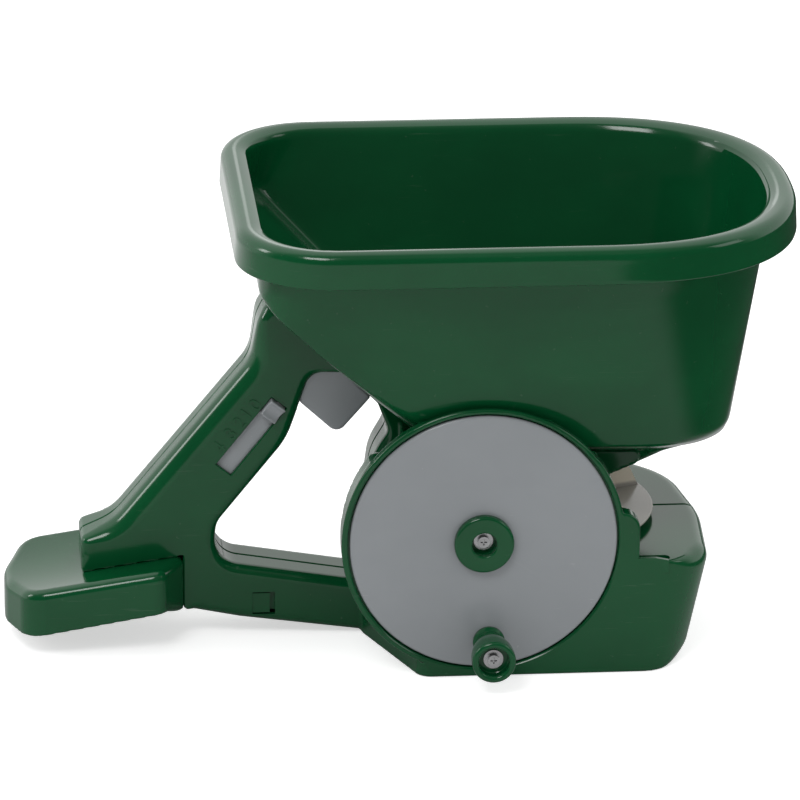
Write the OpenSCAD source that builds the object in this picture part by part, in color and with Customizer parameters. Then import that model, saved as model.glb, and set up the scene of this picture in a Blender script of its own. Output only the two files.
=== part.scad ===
// Hand spreader for seed and granules. A crank wheel on the near side turns a spinner under the
// hopper through a spur pair and a bevel pair. A trigger in the D-shaped grip opens the gate.
// X points forward, Y points away from the crank and Z points up. The part stands on Z = 0,
// and the crank axle crosses the plane X = 0.

/* [Body] */
// Width of the gear housing, from the crank face to the far wall
body_w = 144; // [120:1:176]
// Wall of the two body shells
wall = 2.4; // [2:0.1:3]
// Width of the grip frame
grip_w = 32; // [28:0.5:36]
// Height of the platform under the spinner
platform_h = 55.8; // [55.4:0.2:58]
// Rounding of the housing's front corner in plan
front_corner_r = 27; // [15:1:30]
// Underside of the saddle that carries the hopper
saddle_z = 72.8; // [72.4:0.1:76]
// Half width of the saddle
saddle_half = 25; // [24:0.2:30]

/* [Hopper] */
// Overall width of the hopper's rim
hopper_w = 200; // [166:1:240]
// Overall height of the rim
rim_z = 220; // [200:1:250]
// Front of the rim, from the crank axle
rim_front = 151; // [140:1:180]
// Rear of the rim, from the crank axle
rim_rear = 116.5; // [110:1:130]
// Wall of the hopper
hopper_wall = 2.2; // [1.8:0.1:2.8]
// Width of the rolled lip
lip_w = 9; // [7:0.5:12]
// Depth of the rolled lip
lip_h = 17; // [12:0.5:22]
// Slope of the rear floor
floor_slope = 45.5; // [44:0.5:47]

/* [Crank] */
// Diameter of the crank wheel
crank_d = 125; // [104:1:128]
// Thickness of the crank wheel
crank_t = 2.5; // [2:0.1:3.5]
// Height of the crank axle
axle_z = 67.5; // [66:0.5:70]
// Diameter of the axle collar's shank
axle_d = 20; // [16.6:0.1:24]
// Width of the green ring around the wheel
ring_w = 2.7; // [2:0.1:4]
// Distance of the knob from the axle
knob_throw = 49.7; // [42:0.1:51]
// Length of the knob
knob_len = 26.7; // [22:0.1:32]
// Diameter of the knob's lip
knob_d = 20.5; // [18:0.1:24]
// Diameter of the post that the knob turns on
post_d = 7; // [5.8:0.1:8.4]

/* [Drive] */
// Module of the spur pair
spur_m = 1.5; // [1.4:0.05:1.55]
// Teeth on the drive gear
gear_teeth = 44; // [42:1:46]
// Teeth on the drive pinion
pinion_teeth = 12; // [12:1:14]
// Width of the spur teeth
spur_w = 3.2; // [2.6:0.1:3.4]
// Module of the bevel pair
bevel_m = 1.25; // [1.1:0.05:1.3]
// Teeth on the bevel gear
bevel_gear_teeth = 24; // [20:1:24]
// Teeth on the bevel pinion
bevel_pinion_teeth = 12; // [10:1:13]
// Diameter of the countershaft
counter_d = 5; // [4.2:0.1:6]
// Diameter of the spinner shaft
shaft_d = 6; // [5:0.1:7.2]

/* [Spinner] */
// Diameter of the spinner
spinner_d = 120.6; // [95:0.1:121]
// Distance of the spinner's axis in front of the crank axle
spinner_x = 27; // [26.5:0.1:28]
// Distance of the spinner's axis from the parting plane, towards the crank
spinner_off = 4; // [3:0.1:4.4]
// Height of the vanes above the disc
vane_h = 10.2; // [7:0.1:10.6]
// Number of vanes
vane_count = 6; // [4:1:8]

/* [Trigger and selector] */
// Travel of the trigger
trigger_travel = 20; // [10:1:20]
// Travel of the selector
selector_travel = 27; // [15:1:28]
// Width of the gate strip
gate_w = 21; // [17:0.5:21.5]
// Length of the selector's window
window_l = 42; // [40:1:44]
// Width of the selector's window
window_w = 9; // [8:0.1:9.5]

/* [Fasteners] */
// Shank diameter of the shell screws
screw_d = 3.4; // [2.8:0.1:3.8]
// Head diameter of the shell screws
head_d = 6.4; // [5.4:0.1:6.8]

/* [Clearances] */
// Radial clearance of a running fit
run_fit = 0.05; // [0.02:0.01:0.1]
// Gap between pieces that slide or turn past each other
side_gap = 0.2; // [0.1:0.05:0.4]
// Gap between the hopper and its saddle
seat_gap = 0.3; // [0.1:0.05:0.5]

/* [Hidden] */
$fn = 96;
arc_step = 14;
eps = 0.01;
green = [0.05, 0.30, 0.16];
light_grey = [0.52, 0.54, 0.55];
steel = [0.72, 0.73, 0.75];
natural = [0.88, 0.87, 0.82];
brass = [0.72, 0.58, 0.30];

// Places across the body
near_y = -body_w / 2;
far_y = body_w / 2;
seam_y = 0;
spinner_y = seam_y - spinner_off;
grip_half = grip_w / 2;
grip_in = grip_half - wall;
slot_half = grip_in - 0.3;
disc_back = near_y + crank_t;
tray_front = disc_back + side_gap + 0.1;
gear_back = disc_back + spur_w;
cup_floor = gear_back + side_gap;
cup_wall = 1.5;
cup_back = cup_floor + cup_wall;
pod_back = near_y + 16;
pod_top = 108;
tray_top = 127;
rib_front = 88;
rib_t = 2;
rib_h = 1.9;
groove_w = 6;
groove_d = 0.7 * wall;
flange_t = 3;
shoulder_t = 9;
recess_r = crank_d / 2 + 0.8;
ring_r = recess_r + ring_w;

// Gear train: the countershaft crosses under the spinner's axis
spur_dist = spur_m * (gear_teeth + pinion_teeth) / 2;
counter_z = axle_z - sqrt(spur_dist * spur_dist - spinner_x * spinner_x);
gear_cup_r = spur_m * (gear_teeth / 2 + 1) + 1.5;
pinion_cup_r = spur_m * (pinion_teeth / 2 + 1) + 1.5;
bevel_gear_r = bevel_m * bevel_gear_teeth / 2;
bevel_pinion_r = bevel_m * bevel_pinion_teeth / 2;
bevel_face = 0.29;
bush_od = counter_d + 4;
far_bush_y = 9;
far_bush_l = 7;

// Spinner stack, from the platform up
bush_flange = 3;
spin_bush_od = shaft_d + 6;
spinner_z = platform_h + bush_flange + 0.3;
disc_t = 1.4;
vane_top = spinner_z + disc_t + vane_h;
hub_top = vane_top - 1;
scallop_r = spinner_d / 2 + 0.8;
saddle_top = saddle_z + 20.9;
hopper_floor = saddle_z + wall + seat_gap;

// Slope frame: its origin is on the outside of the hopper's rear floor
slope_x = -31.3;
slope_z = 122;
ledge_n = -11.3;
guide_out = grip_half - 0.2;
guide_in = gate_w / 2 + 0.7;
gate_top = -seat_gap;
gate_t = 2.2;
outlet_u = [42, 62];
outlet_half = gate_w / 2 - 1.5;
drop_half = gate_w / 2 + 0.8;
drop_front = 14.8;

// Selector frame: its origin is the middle of the window
window_x = -104.7;
window_z = 101.4;
window_a = 51.7;
thumb_l = 8.6;

// Crank parts
knob_x = 2.9;
knob_z = axle_z - knob_throw;
collar_d = axle_d + 8;
collar_face = near_y - 4;
collar_hole_d = axle_d - 8.4;
collar_floor = collar_face + 7;
collar_screw_end = cup_back + 2.2;
washer_t = 1;
pan_t = 1.9;
knob_floor = near_y - 21;

// Screws through the far shell into the near shell, as [x, z]
shell_screw_at = [[-171, 53], [-116, 112], [-92.5, 160.5], [-75, 17], [-39.8, 76], [-18, 14], [48, 14]];
screw_seat = 10.5;
screw_l = 20;
hopper_screw_d = 3;
hopper_screw_at = [[12, saddle_z + 13.2], [58, saddle_z + 13.2]];

neck_front = spinner_x - scallop_r - 0.3;

// Outlines are lists of [x, y, corner radius], counterclockwise
spine_outline = [
    [-137, 14.6, 3],
    [-110, 9, 60],
    [-46, 0, 40],
    [neck_front, 0, 0.1],
    [neck_front, saddle_z, 4],
    [ledge_x(saddle_z), saddle_z, 0.1],
    [ledge_x(172), 172, 2],
    [-101, 158, 20],
    [-105, 138, 22],
    [-172, 64.5, 30],
    [-185, 56, 4],
    [-185, 36.6, 1],
    [-137, 43.9, 0.1]
];
finger_outline = [
    [-50.5, 28.3, 20],
    [-50.5, 66, 40],
    [-47.5, 89, 30],
    [-39.8, 102, 6],
    [-45.2, 116.6, 2],
    [-61.5, 132.2, 3],
    [-80.8, 131.8, 9],
    [-91.5, 101.5, 40],
    [-122.4, 58, 12],
    [-122.5, 37.9, 13]
];
base_plan = [
    [-29, near_y, 8],
    [110, near_y, front_corner_r],
    [114.5, -5, 90],
    [104, far_y - 24, 50],
    [72, far_y, 30],
    [-29, far_y, 8],
    [-52, grip_half, 4],
    [-52, -grip_half, 4]
];
base_side = [
    [-60, 0, 0.1],
    [107.5, 0, 10],
    [113.6, 36, 40],
    [111.5, platform_h, 8],
    [-60, platform_h, 0.1]
];
saddle_side = [
    [-6, saddle_z, 0.5],
    [44, saddle_z, 8],
    [76.8, saddle_z + 13.8, 2.5],
    [79.4, saddle_z + 17.4, 2],
    [77.2, saddle_top, 2],
    [-4, saddle_top, 0.1],
    [-6, saddle_top + 1.6, 0.1]
];
shoulder_side = [
    [0, 40, 0.1],
    [73.3, 40, 0.1],
    [73.3, 80.2, 8],
    [0, 80.2, 0.1]
];
trigger_side = [
    [-42, -31, 2],
    [-31, -38.7, 3],
    [-10, -35.6, 5],
    [-10, -14, 2],
    [-42, -14, 1]
];

// Height of the ledge and of the rear floor, as the place along X
function ledge_x(z) = slope_x + ledge_n / sin(floor_slope) - (z - slope_z) / tan(floor_slope);
function floor_x(z) = slope_x - (z - slope_z) / tan(floor_slope);

// Rounded outlines, each corner an arc, inset by d
function at(p, i) = let (q = p[(i + len(p)) % len(p)]) [q[0], q[1]];
function unit(v) = v / norm(v);
function left(v) = [-v[1], v[0]];
function cross2(a, b) = a[0] * b[1] - a[1] * b[0];
function corner(p, i, d) =
    let (a = unit(at(p, i) - at(p, i - 1)))
    let (b = unit(at(p, i + 1) - at(p, i)))
    let (turn = atan2(cross2(a, b), a * b))
    let (side = turn < 0 ? -1 : 1)
    let (r = max(0.05, p[i][2] - side * d))
    let (v = at(p, i) + d * (left(a) + left(b)) / (1 + left(a) * left(b)))
    let (c = v - a * r * abs(tan(turn / 2)) + side * r * left(a))
    let (start = atan2(a[1], a[0]) - side * 90)
    let (steps = ceil(abs(turn) / arc_step))
    [for (k = [0:steps]) c + r * [cos(start + turn * k / steps), sin(start + turn * k / steps)]];
function rounded(p, d = 0) = [for (i = [0:len(p) - 1]) each corner(p, i, d)];

// Closed skin through loops that have the same number of points
module skin(loops) {
    n = len(loops[0]);
    last = (len(loops) - 1) * n;
    sides = [for (k = [0:len(loops) - 2]) for (i = [0:n - 1])
        let (a = k * n + i, b = k * n + (i + 1) % n)
        each [[a, a + n, b + n], [a, b + n, b]]];
    caps = [[for (i = [0:n - 1]) i], [for (i = [n - 1:-1:0]) last + i]];
    polyhedron(points = [for (l = loops) each l], faces = concat(caps, sides));
}

// Slab across the body from y0 to y1, with an outline in X and Z
module slab(y0, y1, outline) {
    translate([0, y1, 0]) rotate([90, 0, 0]) linear_extrude(y1 - y0) polygon(outline);
}

// Round bar along Y from y0 to y1
module bar_y(x, z, y0, y1, d) {
    translate([x, y1, z]) rotate([90, 0, 0]) cylinder(d = d, h = y1 - y0);
}

module on_slope() {
    translate([slope_x, 0, slope_z]) rotate([0, floor_slope, 0]) children();
}

module on_window() {
    translate([window_x, 0, window_z]) rotate([0, -window_a, 0]) children();
}

// Block given by its low and high corners
module block(low, high) {
    translate(low) cube(high - low);
}

// Grip frame, bar and neck in one outline
module spine_outer() {
    slab(-grip_half, grip_half, rounded(spine_outline));
}

// Spinner scallop cut from the pod above the platform
module scallop(extra) {
    translate([spinner_x, spinner_y, platform_h]) cylinder(r = scallop_r + extra, h = 80);
}

module base_block(d) {
    intersection() {
        translate([0, 0, -1]) linear_extrude(platform_h + 2) polygon(rounded(base_plan, d));
        slab(near_y - 1, far_y + 1, rounded(base_side, d));
    }
}

module pod_outer() {
    difference() {
        union() {
            intersection() {
                bar_y(0, axle_z, near_y, pod_back, 2 * ring_r);
                block([-100, near_y - 1, 0], [100, 0, pod_top]);
            }
            bar_y(0, axle_z, near_y, near_y + flange_t, 2 * ring_r);
            slab(near_y, near_y + shoulder_t, rounded(shoulder_side));
            block([60, near_y, platform_h - 8], [rib_front, near_y + rib_t, platform_h + rib_h]);
        }
        scallop(0);
    }
}

module pod_inner() {
    difference() {
        union() {
            intersection() {
                bar_y(0, axle_z, tray_front + wall, pod_back - wall, 2 * (ring_r - wall));
                block([-100, near_y - 1, wall], [100, 0, pod_top - wall]);
            }
            slab(near_y + wall, near_y + shoulder_t - wall, rounded(shoulder_side, wall));
        }
        translate([0, 0, -wall]) scallop(wall);
    }
}

module body_outer() {
    base_block(0);
    spine_outer();
    pod_outer();
    slab(-saddle_half, saddle_half, rounded(saddle_side));
}

// Hollow of the grip frame, with a wall around the finger opening
module spine_inner() {
    difference() {
        slab(-grip_in, grip_in, rounded(spine_outline, wall));
        slab(-grip_half, grip_half, rounded(finger_outline, -wall));
    }
}

module saddle_inner() {
    low = saddle_z + wall;
    slab(-saddle_half + wall, saddle_half - wall, [[-6 + wall, low], [43.6, low], [75.6, low + 13.4],
        [90, low + 13.4], [90, 130], [-40, 130]]);
}

// Both shells in one, before they are parted at the seam
module body_shell() {
    difference() {
        body_outer();
        base_block(wall);
        spine_inner();
        pod_inner();
        saddle_inner();
        block([shoulder_side[1][0] + 1, near_y + rib_t, platform_h - groove_d],
            [rib_front, near_y + rib_t + groove_w, platform_h + 1]);
        slab(-grip_half - 1, grip_half + 1, rounded(finger_outline));
        on_slope() block([-76, -slot_half, -22], [58, slot_half, 30]);
        on_slope() block([-64, -slot_half, -41], [-6, slot_half, 0]);
        block([-1, -drop_half, saddle_z - 3], [drop_front, drop_half, saddle_z + 8]);
        slab(-slot_half, slot_half, [[-140, 17.4], [-133, 16.6], [-133, 31.4], [-140, 32.6]]);
        translate([spinner_x, spinner_y, 40]) cylinder(d = spin_bush_od + 2 * eps, h = 20);
        translate([spinner_x, spinner_y, saddle_z - 1]) cylinder(d = shaft_d + 2 * run_fit, h = 10);
        for (s = [-1, 1]) for (p = hopper_screw_at)
            translate([p[0], s * saddle_half, p[1]]) rotate([90, 0, 0])
                cylinder(d = hopper_screw_d + 0.1, h = 8, center = true);
    }
    on_slope() block([-65, -grip_in - 0.5, -31], [-63, grip_in + 0.5, -17]);
}

// Wheel recess, gear cup and pinion cup in the near shell
module crank_tray() {
    difference() {
        union() {
            intersection() {
                bar_y(0, axle_z, near_y, tray_front + wall, 2 * ring_r);
                block([-100, near_y, 0], [100, 0, tray_top]);
            }
            bar_y(0, axle_z, near_y, near_y + flange_t, 2 * ring_r);
            bar_y(0, axle_z, tray_front, cup_back, 2 * (gear_cup_r + cup_wall));
            bar_y(spinner_x, counter_z, tray_front, cup_back, 2 * (pinion_cup_r + cup_wall));
            bar_y(0, axle_z, cup_floor, pod_back - wall + 0.5, 9);
            bar_y(spinner_x, counter_z, cup_floor, cup_floor + 8, bush_od + 4);
        }
        scallop(0);
        bar_y(0, axle_z, near_y - 1, tray_front, 2 * recess_r);
        bar_y(0, axle_z, tray_front - 1, cup_floor, 2 * gear_cup_r);
        bar_y(spinner_x, counter_z, tray_front - 1, cup_floor, 2 * pinion_cup_r);
        bar_y(0, axle_z, cup_floor - 1, collar_screw_end + 0.3, 3 + 2 * eps);
        bar_y(spinner_x, counter_z, cup_floor - 1, cup_floor + 9, bush_od + 2 * eps);
    }
}

module near_shell() {
    color(green) {
        difference() {
            union() {
                intersection() {
                    body_shell();
                    block([-300, near_y - 1, -1], [300, seam_y, 300]);
                }
                near_bosses();
                selector_rails();
            }
            bar_y(0, axle_z, near_y - 1, tray_front + eps, 2 * recess_r);
            bar_y(0, axle_z, tray_front - 1, cup_floor, 2 * gear_cup_r);
            bar_y(spinner_x, counter_z, tray_front - 1, cup_floor, 2 * pinion_cup_r);
            bar_y(spinner_x, counter_z, cup_floor - 1, cup_floor + 9, bush_od + 2 * eps);
            on_window() block([-window_l / 2, -grip_half - 1, -window_w / 2],
                [window_l / 2, -grip_in + 1, window_w / 2]);
            on_window() block([-selector_travel - window_l / 2 - 3, -grip_in - eps, -window_w / 2 - 0.7],
                [window_l / 2, -grip_in + 2.4, window_w / 2 + 0.7]);
            block([-104, -grip_half - 1, 11], [-93.7, -grip_in + 1, 22.3]);
            for (p = shell_screw_at) bar_y(p[0], p[1], seam_y - 8, seam_y + 1, screw_d + 2 * eps);
        }
        crank_tray();
    }
}

// Bosses that the shell screws bite into
module near_bosses() {
    for (p = shell_screw_at)
        bar_y(p[0], p[1], p[0] < -25 ? -grip_in - 0.5 : near_y + wall - 0.5, seam_y, screw_d + 4);
}

// Channel behind the window that holds the selector
module selector_rails() {
    for (s = [-1, 1]) on_window() {
        low = s > 0 ? window_w / 2 + 0.7 : -window_w / 2 - 2.4;
        block([-selector_travel - window_l / 2 - 3, -grip_in - 0.2, low],
            [window_l / 2 - 10, -grip_in + 2.4, low + 1.7]);
    }
}

module far_shell() {
    color(green) difference() {
        union() {
            intersection() {
                body_shell();
                block([-300, seam_y, -1], [300, far_y + 1, 300]);
            }
            for (p = shell_screw_at) bar_y(p[0], p[1], seam_y, well_mouth(p) - 0.5, head_d + 3);
            block([spinner_x - 7, far_bush_y + 1, counter_z - 4],
                [spinner_x + 7, far_bush_y + 4, platform_h - wall + 0.2]);
            bar_y(spinner_x, counter_z, far_bush_y, far_bush_y + far_bush_l, bush_od + 4);
        }
        for (p = shell_screw_at) {
            bar_y(p[0], p[1], screw_seat, well_mouth(p) + 2, head_d + 0.6);
            bar_y(p[0], p[1], seam_y - 1, screw_seat + 1, screw_d + 0.2);
        }
        bar_y(spinner_x, counter_z, far_bush_y - 1, far_bush_y + far_bush_l + 1, bush_od + 2 * eps);
    }
}
function well_mouth(p) = p[0] < -25 ? grip_half : far_y;

module shell_screws() {
    color(steel) for (p = shell_screw_at) {
        bar_y(p[0], p[1], screw_seat - screw_l + 3, screw_seat, screw_d);
        difference() {
            bar_y(p[0], p[1], screw_seat, screw_seat + 2.4, head_d);
            cross_slot(p[0], p[1], screw_seat + 1.2, screw_seat + 3);
        }
    }
}

// Cross recess of a screw head
module cross_slot(x, z, y0, y1) {
    block([x - 1.5, y0, z - 0.35], [x + 1.5, y1, z + 0.35]);
    block([x - 0.35, y0, z - 1.5], [x + 0.35, y1, z + 1.5]);
}

// Arm rest: a deep tray whose tongue runs into the grip's bar
arm_plan = [
    [-212, -36, 14],
    [-203, -38, 6],
    [-150, -38, 22],
    [-137.2, -20, 6],
    [-137.2, 20, 6],
    [-150, 38, 22],
    [-203, 38, 6],
    [-212, 36, 14],
    [-221, 10, 30],
    [-221, -10, 30]
];
arm_side = [
    [-230, 8, 0.1],
    [-130, 25, 0.1],
    [-130, 44.7, 0.1],
    [-230, 29.6, 0.1]
];
module arm_rest() {
    color(green) {
        difference() {
            intersection() {
                linear_extrude(60) polygon(rounded(arm_plan));
                slab(-60, 60, rounded(arm_side));
            }
            intersection() {
                translate([0, 0, -1]) linear_extrude(60) polygon(rounded(arm_plan, wall));
                translate([0, 0, -wall]) slab(-60, 60, rounded(arm_side, -1.2 * wall + wall));
                translate([0, 0, -2]) slab(-60, 60, rounded(arm_side, -0.1));
            }
        }
        arm_tongue();
    }
}

// Tongue with the snap tab that shows in the side window
module arm_tongue() {
    half = slot_half - 0.3;
    difference() {
        slab(-half, half, [[-140, 18], [-92, 12.2], [-92, 24], [-140, 32]]);
        slab(-half + wall, half - wall, [[-141, 20.6], [-89, 14.4], [-89, 21.6], [-141, 29.6]]);
    }
    block([-103, -grip_half + 0.6, 14.4], [-95, -half + 0.5, 21]);
}

// Hopper outline at one height, inset by d
hopper_half = [[hopper_floor, 15], [hopper_floor + 12.5, 21.4], [94.3, 22], [97, 28], [110, 54.5],
    [114, body_w / 2 - 11.5], [120, body_w / 2 - 8], [135, body_w / 2 - 4], [rim_z, hopper_w / 2 - lip_w + 0.5]];
hopper_front = [[hopper_floor, 43], [hopper_floor + 14.2, 77], [91.5, 92], [94.3, 110], [97, 119.5],
    [100.7, 122.9], [108.3, 124.9], [rim_z, rim_front - lip_w - 0.2]];
hopper_rear = [[hopper_floor, floor_x(hopper_floor)], [197, floor_x(197)], [205, -rim_rear + lip_w + 2.6],
    [rim_z, -rim_rear + lip_w + 2]];
hopper_corner = [[hopper_floor, 6], [94.3, 12], [114, 30], [rim_z, 38]];
front_share = 0.62;
front_power = 2.5;
function power(v) = (v < 0 ? -1 : 1) * pow(abs(v), 2 / front_power);
function oval(z, rear, front, half, r) =
    let (x0 = rear + front_share * (front - rear))
    concat(
        [for (t = [-90:7.5:90]) [x0 + (front - x0) * power(cos(t)), half * power(sin(t)), z]],
        [for (t = [90:15:180]) [rear + r + r * cos(t), half - r + r * sin(t), z]],
        [for (t = [180:15:270]) [rear + r + r * cos(t), -half + r + r * sin(t), z]]);
function hopper_loop(z, up, d) =
    oval(z + up, lookup(z, hopper_rear) + d, lookup(z, hopper_front) - d, lookup(z, hopper_half) - d,
        lookup(z, hopper_corner) - d);
function rim_loop(z, d) =
    oval(z, -rim_rear + d, rim_front - d, hopper_w / 2 - d, 45 - d);
wall_steps = [hopper_floor, hopper_floor + 5, hopper_floor + 12.5, hopper_floor + 14.2, 91.5, 94.3, 97,
    100.7, 104, 108.3, 110, 114, 120, 135, 166, 197, 205];

module hopper() {
    color(green) {
        difference() {
            skin(concat(
                [for (z = wall_steps) hopper_loop(z, 0, 0)],
                [hopper_loop(rim_z - 2.5, 0, 0)],
                [rim_loop(rim_z - 2.5, 2.2), rim_loop(rim_z - lip_h, 2.2), rim_loop(rim_z - lip_h, 0)],
                [rim_loop(rim_z - 1.8, 0), rim_loop(rim_z - 0.5, 0.6), rim_loop(rim_z, 2.2)],
                [hopper_loop(rim_z, 0, hopper_wall - 1.4), hopper_loop(rim_z - 1.6, 0, hopper_wall)],
                [for (k = [len(wall_steps) - 1:-1:0]) hopper_loop(wall_steps[k], hopper_wall, hopper_wall)]));
            on_slope() block([outlet_u[0], -outlet_half, -2], [outlet_u[1], outlet_half, 7]);
            translate([spinner_x, spinner_y, hopper_floor - 1]) cylinder(d = shaft_d + 1, h = 6);
            hopper_screw_holes();
        }
        difference() {
            for (s = [-1, 1]) for (p = hopper_screw_at)
                bar_y(p[0], p[1], s > 0 ? 16.5 : -saddle_half + wall + side_gap,
                    s > 0 ? saddle_half - wall - side_gap : -16.5, 6.6);
            hopper_screw_holes();
        }
    }
}

module hopper_screw_holes() {
    for (s = [-1, 1]) for (p = hopper_screw_at)
        bar_y(p[0], p[1], s > 0 ? 17 : -30, s > 0 ? 30 : -17, hopper_screw_d + 2 * eps);
}

module hopper_screws() {
    color(steel) for (s = [-1, 1]) for (p = hopper_screw_at) {
        bar_y(p[0], p[1], s > 0 ? 17.6 : -saddle_half, s > 0 ? saddle_half : -17.6, hopper_screw_d);
        bar_y(p[0], p[1], s > 0 ? saddle_half : -saddle_half - 2, s > 0 ? saddle_half + 2 : -saddle_half,
            2 * hopper_screw_d);
    }
}

// Channel under the rear floor that the gate strip runs in
module gate_guide() {
    floor_top = gate_top - gate_t - side_gap;
    color(green) difference() {
        on_slope() difference() {
            union() {
                for (s = [-1, 1]) block([-78, s > 0 ? guide_in : -guide_out, ledge_n + 0.1],
                    [66, s > 0 ? guide_out : -guide_in, -0.1]);
                block([-78, -guide_in - 1, floor_top - wall], [outlet_u[0] - 2, guide_in + 1, floor_top]);
            }
            block([-39.5 - trigger_travel, -4, -20], [-26.5, 4, 0]);
        }
        block([-60, -30, 0], [60, 30, hopper_floor + 0.1]);
        on_slope() block([30, -guide_in, -20], [70, guide_in, floor_top - wall]);
    }
}

module gate_plate() {
    color(light_grey) on_slope() difference() {
        block([-52, -gate_w / 2, gate_top - gate_t], [64.5, gate_w / 2, gate_top]);
        block([-36, -2.6, gate_top - gate_t - 1], [-30, 2.6, gate_top + 1]);
    }
}

trigger_wall = 2.2;
module trigger() {
    half = slot_half - 0.4;
    color(light_grey) on_slope() {
        difference() {
            slab(-half, half, rounded(trigger_side));
            for (u = [0, -24]) translate([u, 0, 0]) slab(-half + 2, half - 2, rounded(trigger_side, trigger_wall));
        }
        block([-38, -3.5, -16], [-28, 3.5, gate_top - gate_t]);
        block([-35.9, -2.5, gate_top - gate_t - 1], [-30.1, 2.5, gate_top - 0.2]);
    }
}

// Coil spring between the stop rib and the inside of the trigger's face
spring_r = 4;
spring_wire = 1;
spring_turns = 13;
spring_rings = 8;
spring_sides = 6;
spring_n = -25;
spring_from = -62.4;
spring_to = trigger_side[2][0] - trigger_wall - 0.2;
module trigger_spring() {
    last = spring_turns * spring_rings;
    pitch = (spring_to - spring_from - spring_wire) / spring_turns;
    echo(spring_gap = pitch - spring_wire);
    color(steel) on_slope() skin([for (k = [last:-1:0])
        let (a = 360 * k / spring_rings, u = spring_from + spring_wire / 2 + pitch * k / spring_rings)
        [for (j = [0:spring_sides - 1])
            let (b = 360 * j / spring_sides, r = spring_r + spring_wire / 2 * cos(b))
            [u + spring_wire / 2 * sin(b), r * cos(a), spring_n + r * sin(a)]]]);
}

module selector() {
    half = window_w / 2 + 0.5;
    top = window_l / 2 - 0.3;
    back = -grip_in + 0.1;
    color(light_grey) on_window() {
        block([-window_l / 2 - 2, back, -half], [top, back + 2, half]);
        difference() {
            block([top - thumb_l, -grip_half - 3.4, -window_w / 2 + 0.3],
                [top, back + 1, window_w / 2 - 0.3]);
            translate([top - thumb_l / 2, -grip_half - 5.6, 0])
                cylinder(r = 4, h = 20, center = true);
        }
        block([top - 6, back + 1, half - 4], [top, back + 5, half]);
    }
}

module axle_collar() {
    color(green) difference() {
        union() {
            translate([0, near_y - side_gap, axle_z]) rotate([90, 0, 0])
                rotate_extrude() polygon([[0, 0], [collar_d / 2, 0], [collar_d / 2, 2.8],
                    [collar_d / 2 - 1, 3.8], [0, 3.8]]);
            bar_y(0, axle_z, near_y - side_gap, cup_floor - 0.05, axle_d - 2 * run_fit);
        }
        bar_y(0, axle_z, collar_face - 1, collar_floor, collar_hole_d);
        bar_y(0, axle_z, collar_floor - 1, cup_floor + 1, 3.2);
    }
}

module washer(x, z, y0, d, bore) {
    difference() {
        bar_y(x, z, y0, y0 + washer_t, d);
        bar_y(x, z, y0 - 1, y0 + washer_t + 1, bore);
    }
}

// Pan-head screw whose head ends at y0 and whose shank runs along +Y
module pan_screw(x, z, y0, head, shank, length) {
    difference() {
        bar_y(x, z, y0, y0 + pan_t, head);
        cross_slot(x, z, y0 - 1, y0 + 1);
    }
    bar_y(x, z, y0 + pan_t, y0 + pan_t + length, shank);
}

module collar_washer() {
    color(steel) washer(0, axle_z, collar_floor - washer_t, 9, 3.2);
}

module collar_screw() {
    color(steel) pan_screw(0, axle_z, collar_floor - washer_t - pan_t, 5.4, 3,
        collar_screw_end - collar_floor + washer_t);
}

module crank_wheel() {
    color(light_grey) difference() {
        union() {
            bar_y(0, axle_z, near_y, disc_back, crank_d);
            translate([0, gear_back - 0.1, axle_z]) rotate([90, 0, 0])
                cylinder(r = hex_r(), h = spur_w, $fn = 6);
            bar_y(knob_x, knob_z, knob_floor, disc_back - 0.5, post_d);
        }
        bar_y(0, axle_z, near_y - 1, gear_back + 1, axle_d);
        bar_y(knob_x, knob_z, knob_floor - 1, knob_floor + 12, 2.6 + 2 * eps);
    }
}
function hex_r() = (axle_d / 2 + 3) / cos(30);

// Involute flank points of half a tooth, from the root to the tip
pressure = 22.5;
function inv(a) = tan(a) * 180 / PI - a;
function flank_angle(r, pitch_r, teeth, share) =
    let (base = pitch_r * cos(pressure), a = r > base ? acos(base / r) : 0)
    share * 360 / teeth / 2 + inv(pressure) - inv(a);
function spur_points(teeth, m, add, ded, share) =
    let (pitch_r = m * teeth / 2, low = pitch_r - ded * m, high = pitch_r + add * m)
    let (radii = [for (k = [0:3]) max(low, pitch_r * cos(pressure)) * (1 - k / 3) + high * k / 3])
    [for (i = [0:teeth - 1]) let (mid = 360 * i / teeth) each concat(
        [tip(low, mid - flank_angle(low, pitch_r, teeth, share))],
        [for (k = [0:3]) tip(radii[k], mid - flank_angle(radii[k], pitch_r, teeth, share))],
        [for (k = [3:-1:0]) tip(radii[k], mid + flank_angle(radii[k], pitch_r, teeth, share))],
        [tip(low, mid + flank_angle(low, pitch_r, teeth, share))])];
function tip(r, a) = r * [cos(a), sin(a)];

// Angle of the line from the axle to the countershaft
mesh_a = atan2(counter_z - axle_z, spinner_x);
tooth_share = 0.46;

module drive_gear() {
    color(natural) translate([0, gear_back, axle_z]) rotate([90, 0, 0]) difference() {
        rotate([0, 0, mesh_a]) linear_extrude(spur_w)
            polygon(spur_points(gear_teeth, spur_m, 0.8, 1.25, tooth_share));
        translate([0, 0, -1]) cylinder(r = hex_r() + 0.1, h = spur_w + 2, $fn = 6);
        for (a = [0:60:300]) rotate([0, 0, a]) translate([22.5, 0, -1]) cylinder(d = 9, h = spur_w + 2);
    }
}

module drive_pinion() {
    color(natural) translate([spinner_x, gear_back, counter_z]) rotate([90, 0, 0]) difference() {
        rotate([0, 0, mesh_a + 180 + 180 / pinion_teeth]) linear_extrude(spur_w - side_gap)
            polygon(spur_points(pinion_teeth, spur_m, 0.95, 1.2, tooth_share));
        translate([0, 0, -1]) cylinder(d = counter_d, h = spur_w + 2);
    }
}

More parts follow.
